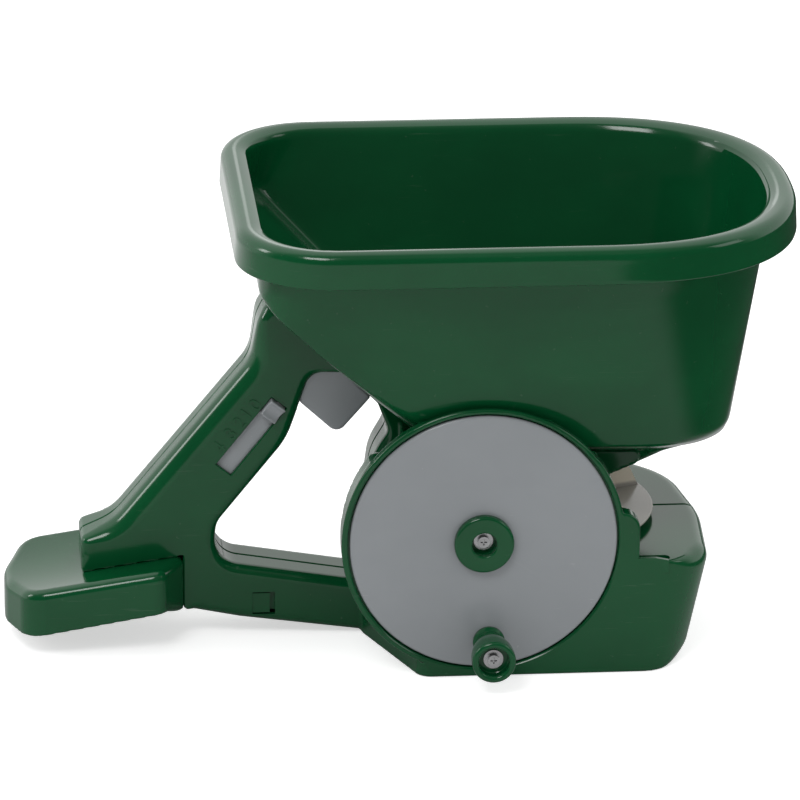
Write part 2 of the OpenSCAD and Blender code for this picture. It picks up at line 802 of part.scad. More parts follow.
module crank_knob() {
    neck = 6.5;
    lip = knob_d / 2;
    bore = post_d / 2 + run_fit;
    floor_y = near_y - side_gap - knob_floor - 0.3;
    hole = 7.3;
    color(green) translate([knob_x, near_y - 0.3, knob_z]) rotate([90, 0, 0]) rotate_extrude() polygon(concat(
        [[bore, 0], [neck + 1, 0], [neck + 1, 1.5]],
        [for (t = [0:0.125:1]) [neck + (lip - neck) * t * t * (3 - 2 * t), 3 + (knob_len - 6.2) * t]],
        [for (a = [0:30:150]) [lip - 1.5 + 1.5 * cos(a), knob_len - 1.7 + 1.5 * sin(a)]],
        [[hole, knob_len - 1.8], [hole, floor_y], [bore, floor_y]]));
}

module knob_washer() {
    color(steel) washer(knob_x, knob_z, knob_floor - washer_t, 9.2, 2.8);
}

module knob_screw() {
    color(steel) pan_screw(knob_x, knob_z, knob_floor - washer_t - pan_t, 5.4, 2.6, 11);
}

module countershaft() {
    color(steel) bar_y(spinner_x, counter_z, gear_back - spur_w + side_gap, far_bush_y + far_bush_l + 2, counter_d);
}

module countershaft_bushes() {
    color(brass) {
        counter_bush(cup_floor + 0.1, 8);
        counter_bush(far_bush_y, far_bush_l);
    }
}

module counter_bush(y0, length) {
    difference() {
        bar_y(spinner_x, counter_z, y0, y0 + length, bush_od);
        bar_y(spinner_x, counter_z, y0 - 1, y0 + length + 1, counter_d + 2 * run_fit);
    }
}

module countershaft_clip() {
    y0 = far_bush_y + far_bush_l + 0.2;
    color(steel) difference() {
        bar_y(spinner_x, counter_z, y0, y0 + 0.8, counter_d + 4);
        bar_y(spinner_x, counter_z, y0 - 1, y0 + 2, counter_d);
    }
}

// Bevel teeth: every section is the same outline, shrunk towards the shafts' crossing point
bevel_step = atan(2 / norm([bevel_gear_teeth, bevel_pinion_teeth]));
bevel_add = 0.7;
bevel_ded = 1.05;
bevel_share = 0.36;
function bevel_cone(depth, pitch_r, steps) = depth * tan(atan2(pitch_r, depth) + steps * bevel_step);
function bevel_points(teeth, depth, pitch_r) =
    let (high = bevel_cone(depth, pitch_r, bevel_add), low = bevel_cone(depth, pitch_r, -bevel_ded))
    let (w = bevel_share * 360 / teeth)
    [for (i = [0:teeth - 1]) let (mid = 360 * i / teeth) each [
        tip(low, mid - w * 0.78), tip(pitch_r, mid - w * 0.5), tip(high, mid - w * 0.24),
        tip(high, mid + w * 0.24), tip(pitch_r, mid + w * 0.5), tip(low, mid + w * 0.78)]];

// The open end of the bevel blank lies at z = 0 and the crossing point at z = depth
module bevel_blank(teeth, depth, pitch_r, turn) {
    rotate([0, 0, turn]) linear_extrude(depth * bevel_face, scale = 1 - bevel_face)
        polygon(bevel_points(teeth, depth, pitch_r));
}

module bevel_gear() {
    back = spinner_y - bevel_pinion_r;
    color(natural) translate([spinner_x, back, counter_z]) rotate([-90, 0, 0]) difference() {
        union() {
            bevel_blank(bevel_gear_teeth, bevel_pinion_r, bevel_gear_r, 90);
            translate([0, 0, -1.6])
                cylinder(r = bevel_cone(bevel_pinion_r, bevel_gear_r, -bevel_ded) - 0.2, h = 1.6 + eps);
            translate([0, 0, -8]) cylinder(r = counter_d / 2 + 3.5, h = 8);
        }
        translate([0, 0, -9]) cylinder(d = counter_d, h = 20);
    }
}

module bevel_pinion() {
    top = counter_z + bevel_gear_r;
    color(natural) translate([spinner_x, spinner_y, top]) rotate([180, 0, 0]) difference() {
        union() {
            bevel_blank(bevel_pinion_teeth, bevel_gear_r, bevel_pinion_r, 90 + 180 / bevel_pinion_teeth);
            translate([0, 0, top - pinion_hub_top()])
                cylinder(r = bevel_pinion_r - 2, h = pinion_hub_top() - top + eps);
        }
        translate([0, 0, -9]) cylinder(d = shaft_d, h = 40);
    }
}
function pinion_hub_top() = platform_h - wall - 1;

module spinner_bush() {
    color(brass) translate([spinner_x, spinner_y, 0]) difference() {
        union() {
            translate([0, 0, platform_h - wall - 0.8]) cylinder(d = spin_bush_od, h = wall + 1);
            translate([0, 0, platform_h]) cylinder(d = spin_bush_od + 4, h = bush_flange);
        }
        translate([0, 0, platform_h - 10]) cylinder(d = shaft_d + 2 * run_fit, h = 20);
    }
}

clip_z = hub_top + 0.05;
clip_t = 0.8;
module spinner_shaft() {
    low = counter_z + counter_d / 2 + 5;
    color(steel) translate([spinner_x, spinner_y, 0]) difference() {
        translate([0, 0, low]) cylinder(d = shaft_d, h = hopper_floor + 12 - low);
        translate([0, 0, clip_z - 0.05]) difference() {
            cylinder(d = shaft_d + 2, h = clip_t + 0.1);
            translate([0, 0, -1]) cylinder(d = shaft_d - 1, h = clip_t + 2);
        }
    }
}

module spinner_clip() {
    color(steel) translate([spinner_x, spinner_y, clip_z]) difference() {
        cylinder(d = shaft_d + 5, h = clip_t);
        translate([0, 0, -1]) cylinder(d = shaft_d - 1 + 2 * eps, h = 3);
    }
}

module spinner() {
    r = spinner_d / 2;
    color(light_grey) translate([spinner_x, spinner_y, 0]) difference() {
        union() {
            translate([0, 0, spinner_z]) cylinder(r = r, h = disc_t);
            translate([0, 0, spinner_z]) cylinder(r = shaft_d / 2 + 4, h = hub_top - spinner_z);
            for (k = [0:vane_count - 1]) rotate([0, 0, 12 + 360 * k / vane_count])
                slab(-0.9, 0.9, [[shaft_d / 2 + 3, spinner_z + 0.5], [r - 0.6, spinner_z + 0.5],
                    [r - 6, vane_top], [shaft_d / 2 + 8, vane_top], [shaft_d / 2 + 3, hub_top]]);
        }
        translate([0, 0, spinner_z - 1]) cylinder(d = shaft_d, h = 30);
    }
}

module agitator() {
    low = hopper_floor + hopper_wall + 1;
    color(light_grey) translate([spinner_x, spinner_y, 0]) difference() {
        union() {
            translate([0, 0, low]) cylinder(d = shaft_d + 4, h = 10);
            translate([-8, 0, low + 3]) rotate([0, 90, 0]) cylinder(d = 3, h = 16);
            translate([0, 8, low + 7]) rotate([90, 0, 0]) cylinder(d = 3, h = 16);
        }
        translate([0, 0, low - 1]) cylinder(d = shaft_d, h = 20);
    }
}

near_shell();
far_shell();
arm_rest();
hopper();
gate_guide();
gate_plate();
trigger();
trigger_spring();
selector();
axle_collar();
collar_washer();
collar_screw();
crank_wheel();
drive_gear();
crank_knob();
knob_washer();
knob_screw();
countershaft();
drive_pinion();
countershaft_bushes();
countershaft_clip();
bevel_gear();
bevel_pinion();
spinner_shaft();
spinner_bush();
spinner();
spinner_clip();
agitator();
shell_screws();
hopper_screws();
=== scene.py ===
from math import atan2, ceil, cos, degrees, pi, radians, sin, sqrt, tan

import bpy
import numpy as np
from bpy.props import FloatProperty, FloatVectorProperty, IntProperty, PointerProperty
from mathutils import Matrix, Vector


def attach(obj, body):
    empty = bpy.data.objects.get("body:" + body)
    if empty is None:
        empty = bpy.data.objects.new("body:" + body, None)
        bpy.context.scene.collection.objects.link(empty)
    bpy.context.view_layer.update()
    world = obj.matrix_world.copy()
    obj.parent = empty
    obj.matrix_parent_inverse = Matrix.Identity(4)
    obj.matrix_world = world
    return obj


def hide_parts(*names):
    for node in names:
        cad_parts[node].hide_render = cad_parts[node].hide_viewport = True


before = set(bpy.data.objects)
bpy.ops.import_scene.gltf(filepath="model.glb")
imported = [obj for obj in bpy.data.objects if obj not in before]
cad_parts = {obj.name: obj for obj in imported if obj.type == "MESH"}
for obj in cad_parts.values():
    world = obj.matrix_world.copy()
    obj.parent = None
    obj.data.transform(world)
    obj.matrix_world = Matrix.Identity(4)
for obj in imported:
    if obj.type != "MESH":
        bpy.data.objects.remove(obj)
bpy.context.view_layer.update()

bl_info = {
    "name": "Hand spreader",
    "version": (1, 0, 0),
    "blender": (4, 5, 0),
    "location": "3D View > Sidebar > Spreader",
    "description": "Builds the moulded pieces of a hand spreader around its packed frame",
    "category": "Object",
}

MM = 0.001

# Places and sizes in millimetres, most of them the frame's own; X runs to the nose, -Y is the wheel's side
NEAR_Y = -72.0
WALL = 2.4
GRIP_HALF = 16.0
GRIP_IN = GRIP_HALF - WALL
SLOT_HALF = GRIP_IN - 0.3
PLATFORM_Z = 55.8
AXLE_Z = 67.5
RECESS_R, RING_R = 63.3, 66.0
TRAY_FRONT, TRAY_TOP = -69.2, 127.0
CUP_FLOOR, CUP_BACK = -66.1, -64.6
GEAR_CUP, PINION_CUP = 36.0, 12.0
CROSS_SEAT, SPINNER_SEAT, SHAFT_HOLE = 4.52, 6.02, 3.05  # radii for the bushes and the upright shaft
POD_BACK, POD_TOP = -56.0, 108.0
WHEEL_R, WHEEL_BORE, WHEEL_BACK = 62.5, 10.0, -69.5
BOSS_FLATS = 26.0
KNOB_X, KNOB_Z = 2.9, 17.8
POST_R, POST_TIP = 3.5, -93.0
SPIN_X, SPIN_Y, SPIN_Z = 27.0, -4.0, 59.1
SPIN_R, DISC, VANE_TOP, VANE_HALF = 60.3, 1.4, 70.7, 0.9
VANES, FIRST_VANE = 6, 20
SCALLOP_R = 61.1
COUNTER_Z = 35.33
SADDLE_Z = 72.8
SADDLE_TOP = SADDLE_Z + 20.9
SADDLE_HALF = 25.0
SLOPE = 45.5
SLOPE_X, SLOPE_Z = -31.3, 122.0
LEDGE_N = -11.3
WINDOW_X, WINDOW_Z, WINDOW_A = -104.7, 101.4, 51.7
WINDOW_L, WINDOW_W = 42.0, 9.0
HOPPER_FLOOR = 75.5
RIM_Z = 220.0
RIM_FRONT, RIM_REAR, RIM_HALF = 151.0, 115.2, 100.0
LIP_W, LIP_H, LIP_IN, LIP_EDGE = 9.0, 17.0, 2.2, 1.1
LIP_UNDER = RIM_Z - 3.2
CROWN_R = 5.5
HOPPER_WALL = 2.2
HOPPER_BEND = 1.4  # softness of the bends in the hopper's wall
SLOPE_OUT, SLOPE_IN = 4.2, 2.4  # the sloping floor's two faces, from the slope's own plane
SHELL_SCREWS = [(-171, 53), (-116, 112), (-92.5, 160.5), (-75, 17), (-39.8, 76), (-18, 14), (48, 14)]
SCREW_WELL = [(-8, 1.7), (0, 1.72), (0.02, 1.8), (10.48, 1.8), (10.5, 3.5)]  # (y, radius): pilot, shank, head
SCREW_BOSS = 4.7
HOPPER_SCREWS = [(12, SADDLE_Z + 13.2), (58, SADDLE_Z + 13.2)]

SIN, COS = sin(radians(SLOPE)), cos(radians(SLOPE))


def floor_x(z):
    """Where the slope's plane is at a height."""
    return SLOPE_X - (z - SLOPE_Z) * COS / SIN


def ledge_x(z):
    """Where the ledge under the slope is at a height."""
    return SLOPE_X + LEDGE_N / SIN - (z - SLOPE_Z) * COS / SIN


NECK_FRONT = SPIN_X - SCALLOP_R - 0.3

# Outlines as (x, z, corner radius), or (x, y, corner radius) for the plans and (u, n, ...) for the trigger
SPINE = [
    (-137, 14.6, 3), (-110, 9, 60), (-46, 0, 40), (NECK_FRONT, 0, 0.1), (NECK_FRONT, SADDLE_Z, 4),
    (ledge_x(SADDLE_Z), SADDLE_Z, 0.1), (ledge_x(171), 171, 6), (-101.6, 158, 20), (-104.8, 137.8, 22),
    (-169.6, 58.2, 28), (-185, 51.3, 3.5), (-185, 34.6, 0.3), (-137, 41.8, 0.1),
]
FINGER = [
    (-50.5, 26, 8), (-50.5, 66, 40), (-47.5, 89, 30), (-39.8, 102, 6), (-45.2, 116.6, 2),
    (-61.5, 132.2, 3), (-76.5, 131.8, 9), (-87.8, 98.8, 40), (-121, 57, 12), (-122.5, 37.9, 13),
]
BASE_PLAN = [
    (-29, -72, 8), (108.4, -72, 26), (112.1, -5, 90), (103.8, 48, 50), (72, 72, 30), (-29, 72, 8),
    (-52, 16, 4), (-52, -16, 4),
]
NOSE_DRAFT, NOSE_TOP, NOSE_DEPTH = 11.3, 56.7, 53.6  # how far the nose draws in, from where, over what depth
SADDLE_SIDE = [
    (-34, SADDLE_Z, 0.5), (44, SADDLE_Z, 8), (76.8, SADDLE_Z + 13.8, 2.5), (79.4, SADDLE_Z + 17.4, 2),
    (77.2, SADDLE_TOP, 2), (-4, SADDLE_TOP, 0.1), (-34, SADDLE_TOP + 12, 0.1),
]
SHOULDER = [(0, 40, 0.1), (73.3, 40, 0.1), (73.3, 80.2, 8), (0, 80.2, 0.1)]
TRIGGER_SIDE = [(-40, -33, 2), (-31.3, -39.6, 1.5), (-7.2, -38.4, 4.8), (-9.2, -14, 2), (-40, -14, 1)]
ARM_PLAN = [
    (-212, -36, 14), (-203, -38, 6), (-147.5, -38, 7), (-136.9, -17, 1.5), (-136.9, 17, 1.5),
    (-147.5, 38, 7), (-203, 38, 6), (-212, 36, 14), (-221, 10, 30), (-221, -10, 30),
]
REST_X, REST_TOP, TOP_RISE, TOP_SLANT = -130, 44.7, 0.151, 0.9888  # height at X, rise and cosine of the rise
REST_LOW, LOW_RISE, LOW_SLANT = 24.2, 0.17, 0.9858
DISH, DISH_HALF = 2.4, 33.0
TRIGGER_ROOM, SEAM_EASE = 0.4, 0.5
ON_SURFACE, ALIKE = 0.02, 0.75  # how near a vertex and its face have to be to take the field's normal


# ---- Rounded outlines and distance fields, in millimetres ----

def round_max(a, b, r):
    """Where two solids overlap, with the edge between them rounded to radius r."""
    u, v = a + r, b + r
    return np.minimum(np.maximum(u, v), 0) + np.hypot(np.maximum(u, 0), np.maximum(v, 0)) - r


def round_min(a, b, r):
    """Two solids joined, with a fillet of radius r between them."""
    return -round_max(-a, -b, r)


def smooth(v, low, high):
    t = np.clip((v - low) / (high - low), 0, 1)
    return t * t * (3 - 2 * t)


class Outline:
    """A closed line of (x, y, corner radius), counterclockwise. Calling it gives the signed distance."""

    def __init__(self, corners):
        p = [np.array(c[:2], float) for c in corners]
        n = len(p)
        self.bends = []
        for i in range(n):
            a = p[i] - p[i - 1]
            b = p[(i + 1) % n] - p[i]
            a, b = a / np.hypot(*a), b / np.hypot(*b)
            turn = atan2(a[0] * b[1] - a[1] * b[0], a @ b)
            side = -1 if turn < 0 else 1
            reach = corners[i][2] * abs(tan(turn / 2))
            start, stop = p[i] - a * reach, p[i] + b * reach
            centre = start + side * corners[i][2] * np.array([-a[1], a[0]])
            self.bends.append((start, stop, centre, corners[i][2], side, turn))

    def __call__(self, x, y):
        best = None
        for k, (start, stop, centre, r, side, _) in enumerate(self.bends):
            qx, qy = x - centre[0], y - centre[1]
            s, t = start - centre, stop - centre
            seen = (side * (s[0] * qy - s[1] * qx) >= 0) & (side * (qx * t[1] - qy * t[0]) >= 0)
            d = np.where(seen, side * (np.hypot(qx, qy) - r), 1e6)
            best = d if best is None else np.where(np.abs(d) < np.abs(best), d, best)
            a = self.bends[k - 1][1]
            run = start - a
            long = np.hypot(*run)
            if long < 1e-9:
                continue
            ux, uy = run / long
            qx, qy = x - a[0], y - a[1]
            along = qx * ux + qy * uy
            d = np.where((along >= 0) & (along <= long), qx * uy - qy * ux, 1e6)
            best = np.where(np.abs(d) < np.abs(best), d, best)
        return best

    def line(self, step=6.0):
        """The outline as points, with an arc point every few degrees."""
        points = []
        for start, stop, centre, r, side, turn in self.bends:
            steps = max(1, ceil(abs(degrees(turn)) / step))
            a0 = atan2(*(start - centre)[::-1])
            for k in range(steps + 1):
                a = a0 + turn * k / steps
                points.append((centre[0] + r * cos(a), centre[1] + r * sin(a)))
        return np.array(points)


def slope_uv(x, z):
    """Along and across the hopper's rear floor."""
    dx, dz = x - SLOPE_X, z - SLOPE_Z
    return dx * COS - dz * SIN, dx * SIN + dz * COS


def steps(*spans):
    """Grid lines from spans of (start, stop, step)."""
    lines = [np.linspace(a, b, max(1, round((b - a) / s)), endpoint=False) for a, b, s in spans]
    return np.concatenate(lines + [[spans[-1][1]]])


def even_grid(*spans):
    """Evenly spaced grid lines along X, Y and Z, from one span each."""
    return [steps(span) for span in spans]


def contour(field, xs, ys, zs, passes=4):
    """Closed quad mesh of the surface where the field is zero."""
    lines = (xs, ys, zs)
    grid = np.array(np.broadcast_to(
        field(xs[:, None, None], ys[None, :, None], zs[None, None, :]), (len(xs), len(ys), len(zs))))
    shape = tuple(len(v) - 1 for v in lines)
    cells, spots, quads = [], [], []
    for axis in range(3):
        low, high = [slice(None)] * 3, [slice(None)] * 3
        low[axis], high[axis] = slice(0, -1), slice(1, None)
        a, b = grid[tuple(low)], grid[tuple(high)]
        at = np.argwhere((a < 0) != (b < 0))
        fa, fb = a[tuple(at.T)], b[tuple(at.T)]
        spot = np.stack([lines[k][at[:, k]] for k in range(3)], 1)
        spot[:, axis] += fa / (fa - fb) * (lines[axis][at[:, axis] + 1] - lines[axis][at[:, axis]])
        u, v = (axis + 1) % 3, (axis + 2) % 3
        ring = []
        for du, dv in ((-1, -1), (0, -1), (0, 0), (-1, 0)):
            cell = at.copy()
            cell[:, u] += du
            cell[:, v] += dv
            ring.append(np.ravel_multi_index(cell.T, shape))
        quad = np.stack(ring, 1)
        quad[fa >= 0] = quad[fa >= 0][:, ::-1]
        quads.append(quad)
        cells += ring
        spots += [spot] * 4
    quads = np.concatenate(quads)
    used, where = np.unique(np.concatenate(cells), return_inverse=True)
    spots = np.concatenate(spots)
    points = np.stack([np.bincount(where, spots[:, k]) for k in range(3)], 1)
    points /= np.bincount(where)[:, None]
    quads = np.searchsorted(used, quads)
    return settle(field, points, passes), quads


def slopes(field, p):
    """Field and its gradient at points."""
    h = 1e-3
    f = field(p[:, 0], p[:, 1], p[:, 2])
    g = np.stack([field(*(p + h * np.eye(3)[k]).T) - f for k in range(3)], 1) / h
    return f, g


def settle(field, points, passes):
    """Moves points onto the surface."""
    for _ in range(passes):
        f, g = slopes(field, points)
        move = -(f / np.maximum((g * g).sum(1), 0.2))[:, None] * g
        size = np.linalg.norm(move, axis=1)
        points = points + move * np.minimum(1, 0.9 / np.maximum(size, 1e-9))[:, None]
    return points


# ---- Mesh tools ----

def new_object(name, points, faces):
    mesh = bpy.data.meshes.new(name)
    mesh.from_pydata((np.asarray(points) * MM).tolist(), [], [list(map(int, f)) for f in faces])
    mesh.validate()
    thing = bpy.data.objects.new(name, mesh)
    bpy.context.scene.collection.objects.link(thing)
    return thing


def turned(profile, segments, origin, axis="Y"):
    """Ring-shaped solid from a closed profile of (radius, place along the axis)."""
    profile = np.asarray(profile, float)
    t = np.linspace(0, 2 * pi, segments, endpoint=False)
    r, h = profile[:, 0:1], profile[:, 1:2] + 0 * t
    flat = [r * np.cos(t), h, r * np.sin(t)] if axis == "Y" else [r * np.cos(t), r * np.sin(t), h]
    points = np.stack(flat, -1).reshape(-1, 3) + np.array(origin, float)
    n = segments
    starts = np.arange(len(profile)) * n
    faces = [[a + j, b + j, b + (j + 1) % n, a + (j + 1) % n]
             for a, b in zip(starts, np.roll(starts, -1)) for j in range(n)]
    return points, facing(points, faces)


def facing(points, faces):
    """Turns the faces of a closed solid outward."""
    p = np.asarray(points)
    volume = 0.0
    for f in faces:
        for k in range(1, len(f) - 1):
            volume += np.dot(p[f[0]], np.cross(p[f[k]], p[f[k + 1]]))
    return [list(f)[::-1] for f in faces] if volume < 0 else faces


def tube(rings):
    """Closed solid through rings of equally many points, with a cap at each end."""
    n = len(rings[0])
    last = (len(rings) - 1) * n
    faces = [[a + k, a + (k + 1) % n, a + n + (k + 1) % n, a + n + k]
             for a in range(0, last, n) for k in range(n)]
    faces += [list(range(n))[::-1], list(range(last, last + n))]
    points = np.concatenate(rings)
    return points, facing(points, faces)


def stepped(x, z, stages, segments):
    """Bar along Y of (place, radius) stages, for wells and sockets."""
    a = np.linspace(0, 2 * pi, segments, endpoint=False)
    return tube([np.stack([x + r * np.cos(a), 0 * a + y, z + r * np.sin(a)], 1) for y, r in stages])


def rod(x, z, y0, y1, r, segments):
    return stepped(x, z, [(y0, r), (y1, r)], segments)


def spinner_hole(low, high, r, segments):
    """Upright bar on the spinner's axis."""
    points, faces = rod(0, 0, low, high, r, segments)
    flat = np.stack([points[:, 0] + SPIN_X, points[:, 2] + SPIN_Y, points[:, 1]], 1)
    return flat, facing(flat, faces)


def prism(line, y0, y1):
    """Outline in X and Z, drawn out along Y."""
    line = np.asarray(line)
    return tube([np.stack([line[:, 0], 0 * line[:, 0] + y, line[:, 1]], 1) for y in (y0, y1)])


def block(low, high):
    """Box between two corners."""
    (x0, y0, z0), (x1, y1, z1) = low, high
    return prism([(x0, z0), (x1, z0), (x1, z1), (x0, z1)], y0, y1)


def placed(solid, origin, angle):
    """A solid from a frame that is turned about Y, as the slope's and the window's are."""
    points, faces = solid
    c, s = cos(radians(angle)), sin(radians(angle))
    x, y, z = np.asarray(points, float).T
    return np.stack([origin[0] + x * c + z * s, y + origin[1], origin[2] - x * s + z * c], 1), faces


def on_slope(solid):
    return placed(solid, (SLOPE_X, 0, SLOPE_Z), SLOPE)


def on_window(solid):
    return placed(solid, (WINDOW_X, 0, WINDOW_Z), -WINDOW_A)


def combine(thing, solids, how="DIFFERENCE"):
    """Cuts solids from a mesh, or joins them to it, one after the other."""
    for points, faces in solids:
        tool = new_object("tool", points, faces)
        change = thing.modifiers.new("change", "BOOLEAN")
        change.operation, change.solver, change.object = how, "MANIFOLD", tool
        graph = bpy.context.evaluated_depsgraph_get()
        made = bpy.data.meshes.new_from_object(thing.evaluated_get(graph))
        old = thing.data
        same = (len(made.vertices), len(made.loops)) == (len(old.vertices), len(old.loops))
        if same or not made.vertices:
            raise RuntimeError(f"{thing.name}: a boolean step changed nothing or left nothing")
        thing.modifiers.clear()
        thing.data = made
        name = old.name
        bpy.data.meshes.remove(old)
        made.name = name
        dropped(tool)


def copied(thing, name):
    twin = bpy.data.objects.new(name, thing.data.copy())
    bpy.context.scene.collection.objects.link(twin)
    return twin


def dropped(thing):
    mesh = thing.data
    bpy.data.objects.remove(thing)
    bpy.data.meshes.remove(mesh)


def fetched(items, key, width=1, kind=float):
    """One of a mesh's attributes as an array."""
    values = np.empty(len(items) * width, kind)
    items.foreach_get(key, values)
    return values.reshape(-1, width) if width > 1 else values


def shade(thing, field, angle):
    """Smooth shading with sharp edges; on the moulded surface the normals come from its field."""
    mesh = thing.data
    mesh.shade_smooth()
    mesh.set_sharp_from_angle(angle=radians(angle))
    if field is None:
        return
    f, g = slopes(field, fetched(mesh.vertices, "co", 3) / MM)
    g /= np.maximum(np.linalg.norm(g, axis=1), 1e-9)[:, None]
    on = np.abs(f) < ON_SURFACE
    corner_vertex = fetched(mesh.loops, "vertex_index", kind=int)
    totals = fetched(mesh.polygons, "loop_total", kind=int)
    face_normal = fetched(mesh.polygons, "normal", 3)
    owner = np.repeat(np.arange(len(totals)), totals)
    whole = np.ones(len(totals), bool)
    np.logical_and.at(whole, owner, on[corner_vertex])
    alike = (g[corner_vertex] * face_normal[owner]).sum(1) > ALIKE
    normals = np.where((whole[owner] & alike)[:, None], g[corner_vertex], 0.0)
    mesh.normals_split_custom_set(normals.tolist())


def dress(thing, finish, body, node, field=None, angle=32.0):
    """Shades a piece, gives it its finish, hangs it on its body and hides the frame part it stands for."""
    shade(thing, field, angle)
    thing.data.materials.clear()
    thing.data.materials.append(finish_of(finish))
    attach(thing, body)
    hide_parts(node)


# ---- Fields of the moulded pieces ----

spine_line, finger_line, plan_line = Outline(SPINE), Outline(FINGER), Outline(BASE_PLAN)
saddle_line, shoulder_line = Outline(SADDLE_SIDE), Outline(SHOULDER)
arm_line, trigger_line = Outline(ARM_PLAN), Outline(TRIGGER_SIDE)


def rest_top(x, y):
    """Top of the arm rest, dished for the forearm."""
    return REST_TOP + TOP_RISE * (x - REST_X) - DISH * np.clip(1 - (y / DISH_HALF) ** 2, 0, 1)


def spine_field(x, y, z):
    """Grip frame, bar and neck.

    The edge is roundest on the back of the grip and at the neck's top. It is sharp along the ledge and
    where the foot meets the arm rest.
    """
    _, across = slope_uv(x, z)
    inside = np.clip(LEDGE_N - across, 0, 40)
    back = 4.5 + 4.5 * smooth(z, 36, 62)
    back = back - 2.5 * (1 - smooth(x, -184, -171)) * smooth(z, 36, 50)
    edge = np.clip(1.0 + 0.32 * inside, 1.0, np.maximum(back, 1.5))
    edge = np.maximum(edge, 6.0 * smooth(z, 152, 164))
    foot = 0.4 + 0.5 * np.clip(z - rest_top(x, GRIP_HALF), 0, 20)
    edge = np.minimum(edge, foot + 8 * smooth(x, -137, -126))
    opening = np.clip(0.5 + 0.3 * inside, 0.5, 4.6)
    f = round_max(spine_line(x, z), np.abs(y) - GRIP_HALF, edge)
    return round_max(f, -finger_line(x, z), opening)


def base_field(x, y, z):
    """Base: its nose draws in towards the floor, and its near wall is square beside the wheel."""
    draft = NOSE_DRAFT * np.clip(NOSE_TOP - z, 0, 60) / NOSE_DEPTH
    walls = plan_line(x + draft * smooth(x, 40, 100), y)
    square = (1 - smooth(x, 84, 106)) * (1 - smooth(y, -66, -56))
    f = round_max(walls, z - PLATFORM_Z, 8.0 - 7.2 * square)
    return round_max(f, -z, 1.2 + 8.0 * smooth(x, 84, 98))


def pod_field(x, y, z):
    """Housing behind the wheel, with its ring, its shoulder and the scallop round the spinner."""
    ring = np.hypot(x, z - AXLE_Z) - RING_R
    deep = round_max(round_max(ring, y - POD_BACK, 2.5), z - POD_TOP, 1.5)
    tray = round_max(round_max(ring, y - TRAY_FRONT - WALL, 1.0), z - TRAY_TOP, 1.0)
    lip = round_max(ring, y - NEAR_Y - 3, 1.0)
    shoulder = round_max(shoulder_line(x, z), y - NEAR_Y - 9, 1.0)
    f = np.minimum(round_min(deep, tray, 1.0), np.minimum(lip, shoulder))
    f = round_max(f, NEAR_Y - y, 1.3)
    scallop = np.hypot(x - SPIN_X, y - SPIN_Y) - SCALLOP_R
    return round_max(f, -np.maximum(scallop, PLATFORM_Z - 4 - z), 0.8)


def saddle_field(x, y, z):
    return round_max(saddle_line(x, z), np.abs(y) - SADDLE_HALF, 1.3)


def body_field(x, y, z):
    """The whole body, with both halves eased a little where they meet."""
    f = round_min(base_field(x, y, z), spine_field(x, y, z), 1.5)
    f = round_min(f, pod_field(x, y, z), 0.9)
    f = round_min(f, saddle_field(x, y, z), 2.0)
    f = f + SEAM_EASE * (1 - smooth(np.abs(y), 0.2, 1.0))
    return np.maximum(np.maximum(f, -z), NEAR_Y - y)


def hollow_field(x, y, z):
    """Inside of the body: a wall all round, the wheel's tray kept, and a boss round each screw."""
    f = body_field(x, y, z) + WALL
    tray = np.maximum(np.hypot(x, z - AXLE_Z) - RING_R, y - CUP_BACK)
    f = np.maximum(f, -tray)
    for sx, sz in SHELL_SCREWS:
        f = np.maximum(f, SCREW_BOSS - np.hypot(x - sx, z - sz))
    return f


def arm_field(x, y, z):
    """Arm rest, deeper along its middle towards the grip."""
    top = (z - rest_top(x, y)) * TOP_SLANT
    keel = 8.0 * smooth(x, -166, -140) * (1 - smooth(np.abs(y), 14, 39))
    low = ((REST_LOW + LOW_RISE * (x - REST_X) - keel) - z) * LOW_SLANT
    return round_max(round_max(arm_line(x, y), top, 4.5), low, 0.8)


def arm_hollow(x, y, z):
    top = (z - rest_top(x, y)) * TOP_SLANT
    return np.maximum(round_max(arm_line(x, y) + WALL, top + WALL, 2.5), 0 * (x + y) - z)


def trigger_field(x, y, z):
    u, n = slope_uv(x, z)
    return round_max(trigger_line(u, n), np.abs(y) - (SLOT_HALF - TRIGGER_ROOM), 1.6)


# ---- Hopper ----

def hopper_levels():
    """Rows of the hopper's wall: height, front and half width, with soft bends and closer rows there."""
    half = [(HOPPER_FLOOR, 15), (HOPPER_FLOOR + 12.5, 21.4), (92.5, 22.5), (95, 28), (107.6, 58.3),
            (109.4, 60.9), (135, 68), (RIM_Z, RIM_HALF - LIP_W + 0.5)]
    front = [(HOPPER_FLOOR, 43), (80.6, 79.5), (89, 97), (92, 109), (96, 118), (100.7, 121.6),
             (108.3, 123), (RIM_Z, RIM_FRONT - LIP_W - 2)]
    z = np.linspace(HOPPER_FLOOR, LIP_UNDER, 6000)
    rows = [z] + [np.interp(z, *zip(*t)) for t in (front, half)]
    run = np.concatenate([[0], np.cumsum(np.sqrt(sum(np.diff(r) ** 2 for r in rows)))])
    even = np.linspace(0, run[-1], 1200)
    rows = np.array([np.interp(even, run, r) for r in rows])
    step = even[1]
    reach = int(6 / step)
    bell = np.exp(-0.5 * (np.arange(-reach, reach + 1) * step / HOPPER_BEND) ** 2)
    bell /= bell.sum()
    padded = np.pad(rows, ((0, 0), (reach, reach)), mode="reflect", reflect_type="odd")
    soft = np.array([np.convolve(r, bell, mode="valid") for r in padded])
    bend = np.abs(np.gradient(np.gradient(soft[1]))) + np.abs(np.gradient(np.gradient(soft[2])))
    weight = np.cumsum(1 + 5 * bend / bend.max())
    pick = np.interp(np.linspace(weight[0], weight[-1], 120), weight, np.arange(len(weight)))
    return np.array([np.interp(pick, np.arange(len(even)), r) for r in soft]).T


